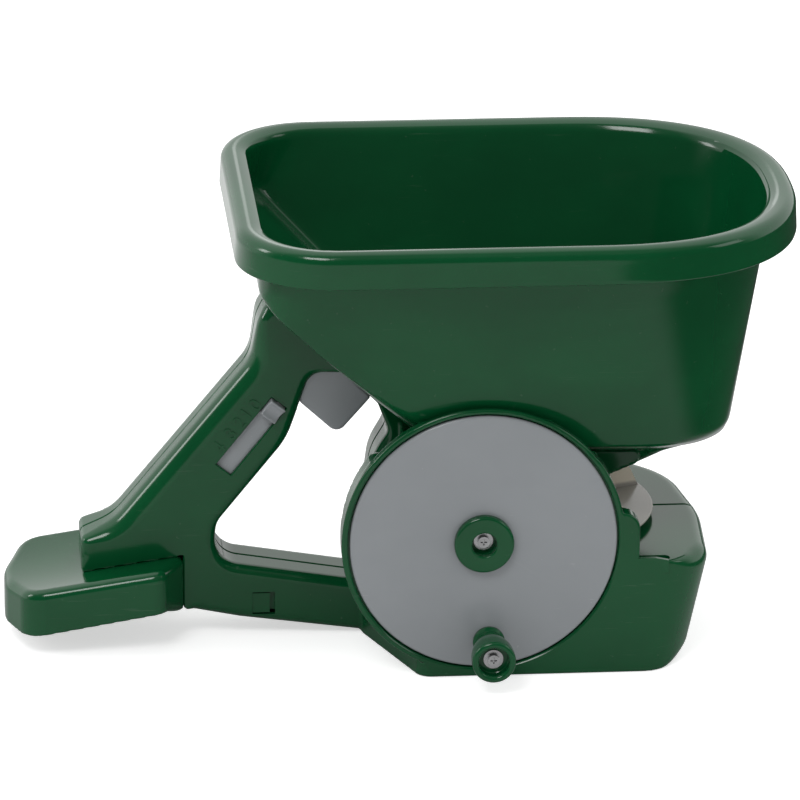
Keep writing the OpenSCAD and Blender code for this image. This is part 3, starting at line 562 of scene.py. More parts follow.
CORNER_IN = 0.293  # how far the middle of a rounded corner lies inside its tangents, for radius 1
NOSE_POWER = 0.83  # below 1 the front is squarer than an ellipse


def corner_radius(z):
    """The rear corners are wide at the rim and tighten below it."""
    return float(np.interp(z, (150, 192, RIM_Z - 4), (7, 17, 37)))


def rear_corner(x0, rear, half, r, slope, fillet):
    """From the side wall round to the middle of the rear, found along rays from (x0, 0)."""
    chord = CORNER_IN * r
    turn = atan2(half - chord, rear + chord - x0)
    if slope > rear:
        drop = rear + r - slope
        edge = half - r + sqrt(r * r - drop * drop) if drop > 0 else half
        cut = atan2(edge, slope - x0)
        turn = min(turn, cut) if drop > 0 else cut
    t = np.linspace(-1, 1, 42)[1:]
    lean = np.sign(t) * np.abs(t) ** 1.7
    a = turn + np.where(t < 0, lean * (turn - pi / 2), lean * (pi - turn))
    near, far = np.zeros(len(a)), np.full(len(a), 400.0)
    for _ in range(44):
        d = (near + far) / 2
        x, y = x0 + d * np.cos(a), d * np.sin(a)
        f = round_max(round_max(y - half, rear - x, r), slope - x, fillet)
        near, far = np.where(f < 0, d, near), np.where(f < 0, far, d)
    return np.stack([x, y], 1)


def oval(z, rear, front, half, r, slope=-1e3, fillet=2.5):
    """One level of the hopper: a rounded front, and rear corners that the sloping floor may cut."""
    low = max(rear, slope)
    x0 = low + 0.62 * (front - low)
    t = np.radians(np.linspace(-90, 90, 121))
    c, s = np.cos(t), np.sin(t)
    c[0] = c[-1] = 0
    nose = np.stack([x0 + (front - x0) * np.abs(c) ** NOSE_POWER,
                     half * np.sign(s) * np.abs(s) ** NOSE_POWER], 1)
    left = rear_corner(x0, rear, half, r, slope, fillet)
    left[-1, 1] = 0
    right = left[-2::-1] * [1, -1]
    flat = np.concatenate([nose, left, right])
    return np.column_stack([flat, np.full(len(flat), z)])


def rim(z, d):
    """The rim's outline, drawn in by d."""
    return oval(z, d - RIM_REAR, RIM_FRONT - d, RIM_HALF - d, 45 - d)


def hopper_solid():
    """Outer wall from the floor up, round the rolled rim, and back down inside."""
    rows = hopper_levels()
    rear = LIP_W + 1.3 - RIM_REAR
    loops = []
    for z, front, half in rows:
        fillet = float(np.interp(z, (122, 158), (14, 2)))
        loops.append(oval(z, rear, front, half, corner_radius(z), floor_x(z) - SLOPE_OUT / SIN, fillet))
    low = RIM_Z - LIP_H
    loops += [rim(LIP_UNDER, 5.5), rim(LIP_UNDER, 2.6), rim(LIP_UNDER - 0.4, LIP_IN)]
    loops += [rim(z, LIP_IN) for z in np.linspace(LIP_UNDER - 1.5, low + 1.9, 5)]
    for t in np.radians(np.linspace(0, 180, 7)):
        loops.append(rim(low + LIP_EDGE - LIP_EDGE * sin(t), LIP_EDGE + LIP_EDGE * cos(t)))
    loops += [rim(z, 0.5 * (z - low - LIP_EDGE) / 9.4) for z in np.linspace(low + 2.5, RIM_Z - 6.5, 6)]
    for t in np.radians(np.linspace(0, 90, 12)):
        loops.append(rim(RIM_Z - CROWN_R + CROWN_R * sin(t), CROWN_R - 5.0 * cos(t)))
    drop = 1.7
    crown, edge = loops[-1], oval(RIM_Z - drop, -103, 138.5, 88.8, 36)
    for share in (0.25, 0.45, 0.62, 0.78, 0.9, 1.0):
        ring = crown * (1 - share) + edge * share
        ring[:, 2] = RIM_Z - drop * share ** 2.2
        loops.append(ring)
    loops.append(oval(RIM_Z - 2.3, -102.8, 138.3, 88.5, 36))
    for z, front, half in rows[::-1]:
        up = z + HOPPER_WALL
        if up < LIP_UNDER:
            loops.append(oval(up, rear + HOPPER_WALL, front - HOPPER_WALL, half - HOPPER_WALL,
                              max(5.0, corner_radius(up) - 1), floor_x(up) + SLOPE_IN / SIN, 5.0))
    for loop in loops:
        loop[:, 2] = np.clip(loop[:, 2], HOPPER_FLOOR, RIM_Z)
    return tube(loops)


# ---- Finishes ----

class Wire:
    """A socket in a Python expression; each operator adds its Math node."""

    def __init__(self, finish, socket):
        self.finish, self.socket = finish, socket

    def math(self, operation, a, b=None):
        values = {0: a} if b is None else {0: a, 1: b}
        return self.finish.node("ShaderNodeMath", values, operation=operation)[0]

    def __add__(self, other):
        return self.math("ADD", self, other)

    def __radd__(self, other):
        return self.math("ADD", other, self)

    def __sub__(self, other):
        return self.math("SUBTRACT", self, other)

    def __rsub__(self, other):
        return self.math("SUBTRACT", other, self)

    def __mul__(self, other):
        return self.math("MULTIPLY", self, other)

    def __rmul__(self, other):
        return self.math("MULTIPLY", other, self)

    def at_least(self, other):
        return self.math("MAXIMUM", self, other)

    def clamped(self, low, high):
        return self.math("MINIMUM", self, high).at_least(low)


class Finish:
    """A material, or the world, and the nodes in it."""

    def __init__(self, holder):
        holder.use_nodes = True
        self.tree = holder.node_tree
        self.tree.nodes.clear()

    def node(self, kind, sockets=None, **settings):
        """A new shader node with its inputs, from values or wires, and its settings."""
        made = self.tree.nodes.new(kind)
        for key, value in settings.items():
            setattr(made, key, value)
        for key, value in (sockets or {}).items():
            if isinstance(value, Wire):
                self.tree.links.new(value.socket, made.inputs[key])
            else:
                made.inputs[key].default_value = value
        return Outputs(self, made)

    def mixed(self, mask, a, b):
        """Colour a where the mask is 0, b where it is 1."""
        return self.node("ShaderNodeMix", {0: mask, 6: a, 7: b}, data_type="RGBA", blend_type="MIX")[2]

    def noise(self, place, scale, detail=3.0, roughness=0.5, stretch=None):
        if stretch is not None:
            place = self.node("ShaderNodeMapping", {0: place, 3: stretch})[0]
        return self.node("ShaderNodeTexNoise", {
            "Vector": place, "Scale": scale, "Detail": detail, "Roughness": roughness})[0]

    def ramp(self, value, low, high):
        """0 below low, 1 above high, smooth between."""
        sockets = {0: value, 1: low, 2: high, 3: 0.0, 4: 1.0}
        return self.node("ShaderNodeMapRange", sockets, interpolation_type="SMOOTHSTEP")[0]

    def rays(self):
        """Masks of the rays from the camera, straight or through a clear piece, and of glossy rays."""
        path = self.node("ShaderNodeLightPath")
        return path["Is Camera Ray"].at_least(path["Is Transmission Ray"]), path["Is Glossy Ray"]

    def output(self, surface, kind="ShaderNodeOutputMaterial"):
        self.node(kind, {0: surface})


class Outputs:
    def __init__(self, finish, made):
        self.finish, self.made = finish, made

    def __getitem__(self, key):
        return Wire(self.finish, self.made.outputs[key])


def rgba(colour, share=1.0):
    return (colour[0] * share, colour[1] * share, colour[2] * share, 1.0)


DUST, SCRATCHED = (0.32, 0.34, 0.32, 1), (0.4, 0.42, 0.4, 1)
MARK_SHARE = 0.05  # how much of dust and scratches shows in the colour


def moulded(name, colour, rough, swirl=0.12, peel=0.035, scuff=0.3, edge=1.6, above=None):
    """Injection-moulded plastic: flow marks in the colour, orange peel, fine scuffs and paler worn edges.

    swirl is the depth of the flow marks, edge how much paler an edge wears, and above a height in metres
    with a paler colour painted over the piece above it, as painted glow of backlight through it.
    """
    material = bpy.data.materials.new(name)
    f = Finish(material)
    place = f.node("ShaderNodeTexCoord")["Object"]
    cloud = f.noise(place, 14.0, 4.0, 0.55)
    flow = f.noise(place, 9.0, 3.0, 0.6, stretch=(1.0, 3.5, 2.2))
    grain = f.noise(place, 2600.0, 2.0, 0.5)
    pits = f.noise(place, 320.0, 3.0, 0.5)
    ripple = f.noise(place, 60.0, 2.0, 0.4)
    scratch = f.noise(place, 90.0, 5.0, 0.7, stretch=(0.35, 1.0, 6.0))
    bent = f.node("ShaderNodeNewGeometry")["Pointiness"]
    worn = f.ramp(bent, 0.52, 0.62) * f.ramp(cloud, 0.35, 0.7)
    dust = f.ramp(pits, 0.70, 0.76)
    marks = f.ramp(scratch, 0.60, 0.72) * f.ramp(cloud, 0.45, 0.62)
    swirled = f.ramp(cloud * 0.6 + flow * 0.4, 0.35, 0.65)
    tone = f.mixed(swirled, rgba(colour, 1 - swirl), rgba(colour, 1 + swirl))
    # Painted light: above the given height the colour turns paler, painting the glow of backlight through the
    # piece
    if above:
        level = f.node("ShaderNodeSeparateXYZ", {0: place})[2]
        tone = f.mixed(f.ramp(level, above[0] - MM, above[0] + MM), tone, rgba(above[1]))
    tone = f.mixed(worn * 0.35, tone, rgba([c * edge + 0.006 for c in colour]))
    tone = f.mixed(dust * MARK_SHARE, tone, DUST)
    tone = f.mixed(marks * MARK_SHARE, tone, SCRATCHED)
    roughness = (rough + cloud * 0.05 - 0.025 + marks * (0.16 * scuff) + dust * 0.10).clamped(0.03, 1.0)
    height = ripple * 0.5 + pits * 0.08 + grain * 0.01
    bump = f.node("ShaderNodeBump", {"Strength": peel, "Distance": 0.0006, "Height": height})
    surface = f.node("ShaderNodeBsdfPrincipled", {
        "Base Color": tone, "Roughness": roughness, "IOR": 1.5, "Normal": bump["Normal"]})
    f.output(surface[0])
    return material


def metal(name, colour, rough, brushed=(1.0, 1.0, 8.0)):
    """Turned or plated metal with fine tool marks and a few dull spots."""
    material = bpy.data.materials.new(name)
    f = Finish(material)
    place = f.node("ShaderNodeTexCoord")["Object"]
    streak = f.noise(place, 900.0, 3.0, 0.6, stretch=brushed)
    cloud = f.noise(place, 120.0, 3.0, 0.6)
    tone = f.mixed(f.ramp(cloud, 0.35, 0.7), rgba(colour, 0.82), rgba(colour, 1.05))
    tone = f.mixed(f.ramp(streak, 0.6, 0.75) * 0.4, tone, rgba(colour, 0.6))
    bump = f.node("ShaderNodeBump", {"Strength": 0.12, "Distance": 0.0002, "Height": streak})
    surface = f.node("ShaderNodeBsdfPrincipled", {
        "Base Color": tone, "Metallic": 1.0, "Roughness": (rough + cloud * 0.14 - 0.05).clamped(0.05, 1.0),
        "Normal": bump["Normal"]})
    f.output(surface[0])
    return material


def finish_of(key):
    """The finishes by name, made once from the panel's colours."""
    name = "finish_" + key
    found = bpy.data.materials.get(name)
    if found:
        return found
    look = bpy.context.scene.spreader_look
    if key == "green":
        return moulded(name, look.green, look.gloss)
    if key == "grey":
        return moulded(name, look.grey, look.satin, swirl=0.04, peel=0.03, scuff=0.5, edge=1.12)
    if key == "pale":
        # The vanes' paler colour above 62.5 mm is painted glow of backlight through them
        return moulded(name, look.pale, look.satin, swirl=0.05, peel=0.04, scuff=0.7, edge=1.1,
                       above=(0.0625, look.vane))
    if key == "nylon":
        return moulded(name, look.nylon, 0.42, swirl=0.05, peel=0.05)
    if key == "steel":
        return metal(name, look.steel, 0.24)
    return metal(name, look.bronze, 0.34)


# ---- Settings ----

def colour_prop(name, description, default):
    return FloatVectorProperty(name=name, description=description, subtype="COLOR", size=3, min=0, max=1,
                               default=default)


def length_prop(name, description, default, low, high):
    return FloatProperty(name=name, description=description, subtype="DISTANCE", unit="LENGTH",
                         default=default * MM, min=low * MM, max=high * MM)


class SpreaderLook(bpy.types.PropertyGroup):
    green: colour_prop("Green", "Colour of the body, hopper, collar and knob", (0.0014, 0.060, 0.0180))
    grey: colour_prop("Grey", "Colour of the wheel, trigger and selector", (0.250, 0.266, 0.279))
    pale: colour_prop("Pale grey", "Colour of the spinner", (0.350, 0.335, 0.300))
    # Painted light: this paler colour on the vanes' upper part paints the glow of backlight through them
    vane: colour_prop("Vane", "Colour of the upper part of the spinner's vanes", (0.64, 0.585, 0.48))
    nylon: colour_prop("Nylon", "Colour of the gears", (0.74, 0.72, 0.66))
    steel: colour_prop("Steel", "Colour of screws, washers, clips and shafts", (0.62, 0.62, 0.63))
    bronze: colour_prop("Bronze", "Colour of the bushes", (0.58, 0.42, 0.20))
    floor: colour_prop("Floor", "Colour of the floor", (0.86, 0.86, 0.86))
    gloss: FloatProperty(name="Gloss roughness", description="Roughness of the green plastic", default=0.14,
                         min=0.02, max=0.8, subtype="FACTOR")
    satin: FloatProperty(name="Satin roughness", description="Roughness of the grey plastic", default=0.22,
                         min=0.02, max=0.8, subtype="FACTOR")


class SpreaderSizes(bpy.types.PropertyGroup):
    seam: length_prop("Seam", "Gap between the two body halves", 0.42, 0.05, 1)
    mesh_step: length_prop("Mesh step", "Spacing of the body's mesh", 1.5, 0.8, 4)
    digit_height: length_prop("Digit height", "Height of the numbers beside the selector", 5.6, 3, 8)
    digit_raise: length_prop("Digit relief", "How far the numbers stand out", 0.5, 0.1, 0.8)
    round_parts: IntProperty(name="Round parts", description="Sides of the wheel, knob, collar and spinner",
                             default=144, min=48, max=256)


# ---- Operators ----

DIGITS = {
    "0": [[(0.5, 1), (0.2, 0.9), (0.05, 0.65), (0.05, 0.35), (0.2, 0.1), (0.5, 0), (0.8, 0.1), (0.95, 0.35),
           (0.95, 0.65), (0.8, 0.9), (0.5, 1)]],
    "1": [[(0.25, 0.8), (0.55, 1), (0.55, 0)]],
    "2": [[(0.08, 0.74), (0.2, 0.93), (0.5, 1), (0.8, 0.92), (0.9, 0.72), (0.78, 0.5), (0.1, 0), (0.92, 0)]],
    "3": [[(0.1, 0.85), (0.3, 0.98), (0.6, 1), (0.85, 0.85), (0.85, 0.68), (0.6, 0.53), (0.4, 0.53)],
          [(0.6, 0.53), (0.9, 0.38), (0.92, 0.18), (0.7, 0.02), (0.4, 0), (0.08, 0.15)]],
    "4": [[(0.7, 0), (0.7, 1), (0.05, 0.28), (0.95, 0.28)]],
}
DIGIT_PLACES = {"4": (-119.9, 96.6), "3": (-114.7, 103), "2": (-110.5, 108.4), "1": (-107.2, 112.9),
                "0": (-102.9, 117.3)}
DIGIT_STROKE, DIGIT_WIDTH = 0.95, 0.62  # stroke in millimetres, width as a share of the height


def stroke(path, width, low, high):
    """A flat raised line on the near side between two depths, with round ends."""
    solids = []
    for a, b in zip(path[:-1], path[1:]):
        along = (b - a) / np.hypot(*(b - a))
        start = atan2(along[1], along[0])
        outline = []
        for centre, turn in ((b, -90), (a, 90)):
            for k in range(7):
                t = start + radians(turn + 30 * k)
                outline.append(centre + width / 2 * np.array([cos(t), sin(t)]))
        solids.append(prism(outline, low, high))
    return solids


def digit_solids(sizes):
    """The plain numbers 4 3 2 1 0 beside the selector's window."""
    up = radians(WINDOW_A)
    along, rise = np.array([cos(up), sin(up)]), np.array([-sin(up), cos(up)])
    tall = sizes.digit_height / MM
    wide = tall * DIGIT_WIDTH
    made = []
    for digit, (x, z) in DIGIT_PLACES.items():
        corner = np.array([x, z]) - along * wide / 2 - rise * tall / 2
        for path in DIGITS[digit]:
            line = [corner + along * (p[0] * wide) + rise * (p[1] * tall) for p in path]
            made += stroke(line, DIGIT_STROKE, -GRIP_HALF - sizes.digit_raise / MM, -GRIP_HALF + 0.6)
    return made


def window_cutter():
    """The selector's window, with its mouth opened a little."""
    rings = []
    for y, grow in ((-GRIP_HALF - 1, 0.7), (-GRIP_HALF, 0.35), (-GRIP_HALF + 0.5, 0), (-GRIP_IN + 1.5, 0)):
        u, v = WINDOW_L / 2 + grow, WINDOW_W / 2 + grow
        rings.append([(-u, y, -v), (u, y, -v), (u, y, v), (-u, y, v)])
    return on_window(tube(rings))


class SPREADER_OT_body(bpy.types.Operator):
    """Moulds the two halves of the body and parts them at the seam"""
    bl_idname = "spreader.body"
    bl_label = "Body halves"

    def execute(self, context):
        sizes = context.scene.spreader_sizes
        s = sizes.mesh_step / MM
        # Closer grid lines at the wheel's side, the grip's sides, the seam, the floor and the platform
        xs = steps((-188, -40, s), (-40, 60, s), (60, 96, s), (96, 118, s))
        ys = steps((-74, -65, 0.75), (-65, -19, 2.2), (-19, -9, 1.1), (-9, -1.5, 2.2), (-1.5, 1.5, 0.25),
                   (1.5, 9, 2.2), (9, 19, 1.1), (19, 74, 2.0))
        zs = steps((-2, 4, 1.0), (4, 46, s), (46, 60, 1.1), (60, 176, s))
        whole = new_object("body", *contour(body_field, xs, ys, zs))
        coarse = even_grid((-188, 118, 2.6), (-72, 74, 2.5), (-1, 176, 2.6))
        combine(whole, [contour(hollow_field, *coarse, passes=3)])
        pull_slot = [(-62.5, 0), (-62.5, -32.5), (-57, -42.5), (-6, -42.5), (-6, 0)]
        low, high = 75.2, 130
        saddle_room = [(ledge_x(low) + 0.4, low), (43.6, low), (45, 62), (90, 62), (90, high),
                       (ledge_x(high) + 0.4, high)]
        cuts = [
            on_slope(block((-70, -SLOT_HALF, -14), (58, SLOT_HALF, 30))),  # room for the gate's channel
            on_slope(prism(pull_slot, -SLOT_HALF, SLOT_HALF)),
            prism(saddle_room, -SADDLE_HALF + WALL, SADDLE_HALF - WALL),
            block((-1, -11.3, 69.8), (14.8, 11.3, 80.8)),  # granules drop through here
            prism([(-140, 17.4), (-133, 16.6), (-133, 31.4), (-140, 32.6)], -SLOT_HALF, SLOT_HALF),  # tongue
        ]
        cuts += [rod(x, z, side * SADDLE_HALF - 4, side * SADDLE_HALF + 4, 1.55, 24)
                 for side in (-1, 1) for x, z in HOPPER_SCREWS]
        cuts += [spinner_hole(50, 60, SPINNER_SEAT, 40), spinner_hole(71.8, 81.8, SHAFT_HOLE, 40)]
        for x, z in SHELL_SCREWS:
            outside = GRIP_HALF if x < -25 else -NEAR_Y
            cuts.append(stepped(x, z, SCREW_WELL + [(outside + 2, SCREW_WELL[-1][1])], 32))
        combine(whole, cuts)
        half_gap = sizes.seam / MM / 2
        near, far = copied(whole, "near_half"), copied(whole, "far_half")
        dropped(whole)
        combine(near, [block((-300, -half_gap, -50), (300, 200, 300))])
        combine(far, [block((-300, -200, -50), (300, half_gap, 300))])
        # The ring's inner edge is eased, then come the wheel's recess and the two gear cups
        recess = [(-73.5, RECESS_R + 0.9), (-72.01, RECESS_R + 0.9), (-71.6, RECESS_R + 0.35),
                  (-71.0, RECESS_R), (TRAY_FRONT, RECESS_R), (TRAY_FRONT + 0.001, GEAR_CUP),
                  (CUP_FLOOR, GEAR_CUP)]
        combine(near, [
            stepped(0, AXLE_Z, recess, 288),
            rod(SPIN_X, COUNTER_Z, TRAY_FRONT - 1, CUP_FLOOR, PINION_CUP, 64),
            rod(SPIN_X, COUNTER_Z, CUP_FLOOR - 1, -57.2, CROSS_SEAT, 32),
            rod(0, AXLE_Z, CUP_FLOOR - 1, CUP_BACK + WALL, 1.52, 24),  # pilot hole of the collar's screw
            window_cutter(),
            block((-104, -GRIP_HALF - 1, 11), (-93.3, -GRIP_IN + 1, 22.3)),  # window of the arm rest's tab
        ])
        # A low rib beside the ring, and the trough behind it
        rib = Outline([(66, 50, 0.1), (87, 50, 0.1), (87, 56.2, 0.3), (81, 57.5, 3), (66, 57.5, 0.3)])
        combine(near, [prism(rib.line(15), NEAR_Y, NEAR_Y + 2)], "UNION")
        trough = Outline([(70, -70, 0.1), (88, -70, 2.6), (88, -64, 2.6), (70, -64, 0.1)]).line(10)
        combine(near, [tube([np.column_stack([trough, np.full(len(trough), z)]) for z in (54.1, 62)])])
        combine(near, digit_solids(sizes), "UNION")
        dress(near, "green", "frame", "near_shell", body_field)
        dress(far, "green", "frame", "far_shell", body_field)
        return {"FINISHED"}


class SPREADER_OT_arm_rest(bpy.types.Operator):
    """Moulds the arm rest, hollow below, with its tongue and snap tab"""
    bl_idname = "spreader.arm_rest"
    bl_label = "Arm rest"

    def execute(self, context):
        fine = even_grid((-223, -135, 1.3), (-40, 40, 1.3), (4, 50, 1.2))
        coarse = even_grid((-223, -135, 2.2), (-40, 40, 2.2), (-6, 50, 2.0))
        rest = new_object("arm_rest_shell", *contour(arm_field, *fine))
        combine(rest, [contour(arm_hollow, *coarse, passes=3)])
        half = SLOT_HALF - 0.3
        tongue = prism([(-139.5, 18), (-92, 12.2), (-92, 24), (-139.5, 32)], -half, half)
        tab = block((-103.9, -GRIP_HALF + 0.5, 11.8), (-95.8, -half + 0.5, 21.6))
        hollow = prism([(-141, 20.6), (-91, 14.6), (-91, 21.8), (-141, 29.6)], -half + WALL, half - WALL)
        combine(rest, [tongue, tab], "UNION")
        combine(rest, [hollow])
        dress(rest, "green", "frame", "arm_rest", arm_field)
        return {"FINISHED"}


class SPREADER_OT_hopper(bpy.types.Operator):
    """Lofts the hopper with its rolled rim and cuts the outlet"""
    bl_idname = "spreader.hopper"
    bl_label = "Hopper"

    def execute(self, context):
        bin_ = new_object("hopper_bin", *hopper_solid())
        channel = on_slope(block((-78.2, -15.95, -6), (66.5, 15.95, -0.05)))
        outlet = on_slope(block((42, -9, -2), (62, 9, 7)))
        combine(bin_, [channel, outlet, spinner_hole(HOPPER_FLOOR - 1, HOPPER_FLOOR + 5, 3.5, 48)])
        dress(bin_, "green", "frame", "hopper", angle=40)
        return {"FINISHED"}


class SPREADER_OT_wheel(bpy.types.Operator):
    """Turns the crank wheel with its eased edge, hex boss and knob post"""
    bl_idname = "spreader.wheel"
    bl_label = "Crank wheel"

    def execute(self, context):
        sides = context.scene.spreader_sizes.round_parts
        edge = Outline([(WHEEL_BORE, NEAR_Y, 0.3), (WHEEL_BORE, WHEEL_BACK, 0.1), (WHEEL_R, WHEEL_BACK, 0.4),
                        (WHEEL_R, NEAR_Y, 1.25)])
        wheel = new_object("wheel_disc", *turned(edge.line(9), sides, (0, 0, AXLE_Z)))
        r = BOSS_FLATS / 2 / cos(radians(30))
        boss = [(r * cos(radians(a)), AXLE_Z + r * sin(radians(a))) for a in range(0, 360, 60)]
        post = [(WHEEL_BACK - 0.3, POST_R), (POST_TIP + 0.4, POST_R), (POST_TIP, POST_R - 0.4)]
        combine(wheel, [prism(boss, -69.6, -66.4)], "UNION")
        combine(wheel, [rod(0, AXLE_Z, -73, -60, WHEEL_BORE, sides)])
        combine(wheel, [stepped(KNOB_X, KNOB_Z, post, 48)], "UNION")
        combine(wheel, [rod(KNOB_X, KNOB_Z, POST_TIP - 1, -81, 1.31, 24)])
        dress(wheel, "grey", "crank", "crank_wheel")
        return {"FINISHED"}


class SPREADER_OT_collar_and_knob(bpy.types.Operator):
    """Turns the collar that the wheel runs on and the crank knob"""
    bl_idname = "spreader.collar_and_knob"
    bl_label = "Collar and knob"

    def execute(self, context):
        sides = context.scene.spreader_sizes.round_parts
        collar = Outline([
            (5.8, -76.0, 0.9), (5.8, -69.0, 0.2), (1.6, -69.0, 0.1), (1.6, -66.15, 0.1), (9.95, -66.15, 0.2),
            (9.95, -72.2, 0.1), (14.0, -72.2, 0.3), (14.0, -76.0, 1.6)][::-1])
        ring = new_object("collar_ring", *turned(collar.line(10), sides, (0, 0, AXLE_Z)))
        dress(ring, "green", "frame", "axle_collar")
        # The knob's profile: foot, flare, rounded lip, then the socket of the screw and the bore
        neck, lip, front, bend, back = 6.5, 10.25, -99.0, 1.6, -72.3
        foot = [(neck + 1.0, back), (neck + 1.0, -73.6), (neck + 0.5, -74.3)]
        t = np.linspace(0, 1, 22)
        flare = np.column_stack([neck + (lip - neck) * t ** 1.6 * (2.2 - 1.2 * t ** 1.2), -75.3 - 17.6 * t])
        flare[:, 0] = np.minimum(flare[:, 0], lip)
        bowl = [(lip - bend + bend * cos(radians(a)), front + bend - bend * sin(radians(a)))
                for a in range(0, 181, 12)]
        socket = [(7.3, -96.8), (7.3, -93.6), (6.9, -93.3), (3.56, -93.3), (3.56, back)]
        profile = foot + flare.tolist() + [(lip, -95.5)] + bowl + socket
        knob = new_object("knob_grip", *turned(profile, sides, (KNOB_X, 0, KNOB_Z)))
        dress(knob, "green", "knob", "crank_knob", angle=28)
        return {"FINISHED"}


class SPREADER_OT_trigger(bpy.types.Operator):
    """Moulds the trigger as a hollow shell, open towards the gate"""
    bl_idname = "spreader.trigger"
    bl_label = "Trigger"

    def execute(self, context):
        grid = even_grid((-86, -45, 0.8), (-15, 15, 0.8), (101, 145, 0.8))
        pull = new_object("trigger_shell", *contour(trigger_field, *grid))
        half = SLOT_HALF - TRIGGER_ROOM - 2
        inner = [(-37.8, -31.9), (-30.7, -36.9), (-12, -35), (-12, -12), (-37.8, -12)]
        combine(pull, [on_slope(prism(inner, -half, half))])
        web = on_slope(block((-38, -3.5, -18), (-28, 3.5, -2.5)))
        peg = on_slope(block((-35.9, -2.5, -3.5), (-30.1, 2.5, -0.5)))
        combine(pull, [web, peg], "UNION")
        dress(pull, "grey", "trigger", "trigger", trigger_field)
        return {"FINISHED"}


class SPREADER_OT_selector(bpy.types.Operator):
    """Moulds the selector's strip and its scooped thumb piece"""
    bl_idname = "spreader.selector"
    bl_label = "Selector"

    def execute(self, context):
        half = WINDOW_W / 2 + 0.5
        top = WINDOW_L / 2 - 0.3
        back = -GRIP_IN + 0.1
        slide = new_object("selector_strip", *on_window(block((-WINDOW_L / 2 - 2, back, -half),
                                                              (top, back + 2, half))))

        def thumb(u, y, v):
            body = round_max(np.abs(u - (top - 4.3)) - 4.3, np.abs(v) - (WINDOW_W / 2 - 0.3), 0.6)
            body = round_max(body, (-GRIP_HALF - 3.4) - y, 0.9)
            body = round_max(body, y - (back + 1), 0.1)
            scoop = 4.6 - np.hypot(u - (top - 4.3), y - (-GRIP_HALF - 6.3))
            return round_max(body, scoop, 0.5)

        grid = even_grid((top - 10, top + 1, 0.4), (-21, -11, 0.4), (-5.5, 5.5, 0.5))
        foot = block((top - 6, back + 1, half - 4), (top, back + 5, half))
        combine(slide, [on_window(contour(thumb, *grid)), on_window(foot)], "UNION")
        dress(slide, "grey", "selector", "selector", angle=35)
        return {"FINISHED"}


class SPREADER_OT_spinner(bpy.types.Operator):
    """Builds the spinner: a thin disc, a hub and six straight vanes"""
    bl_idname = "spreader.spinner"
    bl_label = "Spinner"

    def execute(self, context):
        sides = context.scene.spreader_sizes.round_parts
        top = SPIN_Z + DISC
        line = Outline([(3.0, SPIN_Z, 0.1), (SPIN_R, SPIN_Z, 0.4), (SPIN_R, top, 0.55), (8.2, top, 1.2),
                        (7.0, VANE_TOP - 1, 0.8), (3.0, VANE_TOP - 1, 0.2)]).line(12)
        disc = new_object("spinner_disc", *turned(line, sides, (SPIN_X, SPIN_Y, 0), axis="Z"))
        low = SPIN_Z + 0.6
        side = Outline([(6, low, 0.1), (SPIN_R - 0.7, low, 0.1), (SPIN_R - 6, VANE_TOP, 2.2),
                        (11, VANE_TOP, 1.5), (6, VANE_TOP - 1.2, 0.1)]).line(12)
        points, faces = prism(side, -VANE_HALF, VANE_HALF)
        x, y, z = points.T
        vanes = []
        for k in range(VANES):
            a = radians(FIRST_VANE + 360 / VANES * k)
            vane = np.stack([SPIN_X + x * cos(a) - y * sin(a), SPIN_Y + x * sin(a) + y * cos(a), z], 1)
            vanes.append((vane, faces))
        combine(disc, vanes, "UNION")
        dress(disc, "pale", "rotor", "spinner")
        return {"FINISHED"}


class SPREADER_OT_hardware(bpy.types.Operator):
    """Gives the frame's own screws, shafts, gears and gate their finishes"""
    bl_idname = "spreader.hardware"
    bl_label = "Hardware"

    def execute(self, context):
        finishes = {
            "steel": ["collar_washer", "collar_screw", "knob_washer", "knob_screw", "countershaft",
                      "countershaft_clip", "spinner_shaft", "spinner_clip", "shell_screws", "hopper_screws",
                      "trigger_spring"],
            "nylon": ["drive_gear", "drive_pinion", "bevel_gear", "bevel_pinion"],
            "bronze": ["countershaft_bushes", "spinner_bush"],
            "green": ["gate_guide"],
            "grey": ["gate_plate", "agitator"],
        }
        for key, names in finishes.items():
            for name in names:
                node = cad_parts[name]
                if not node.material_slots:
                    node.data.materials.append(None)
                for slot in node.material_slots:
                    slot.material = finish_of(key)
        return {"FINISHED"}


LAMPS = (  # name, place, aim, size, watts
    ("key", (-600, -1100, 1500), (-20, 0, 90), (700, 500), 9.0),
    ("side", (-1960, 170, 1060), (0, 0, 90), (420, 620), 5.5),
    ("fill", (1300, -500, 900), (0, 0, 90), (500, 500), 1.5),
    ("strip", (125, 2000, 770), (-80, 0, 10), (130, 400), 0.18),
)
WHITE = (1, 1, 1)
FLOOR_HALF, FLOOR_Z = 4000, -0.05
# The camera fitted to the photograph: place, axes, and focal length and picture width in pixels
EYE = (-296.29, -2863.12, 1192.80)
RIGHT, UP, BACK = (0.99607, -0.08813, 0.00899), (0.02263, 0.35123, 0.93602), (-0.08565, -0.93213, 0.35184)
FOCAL, PICTURE, SENSOR = 6500, 800, 36.0


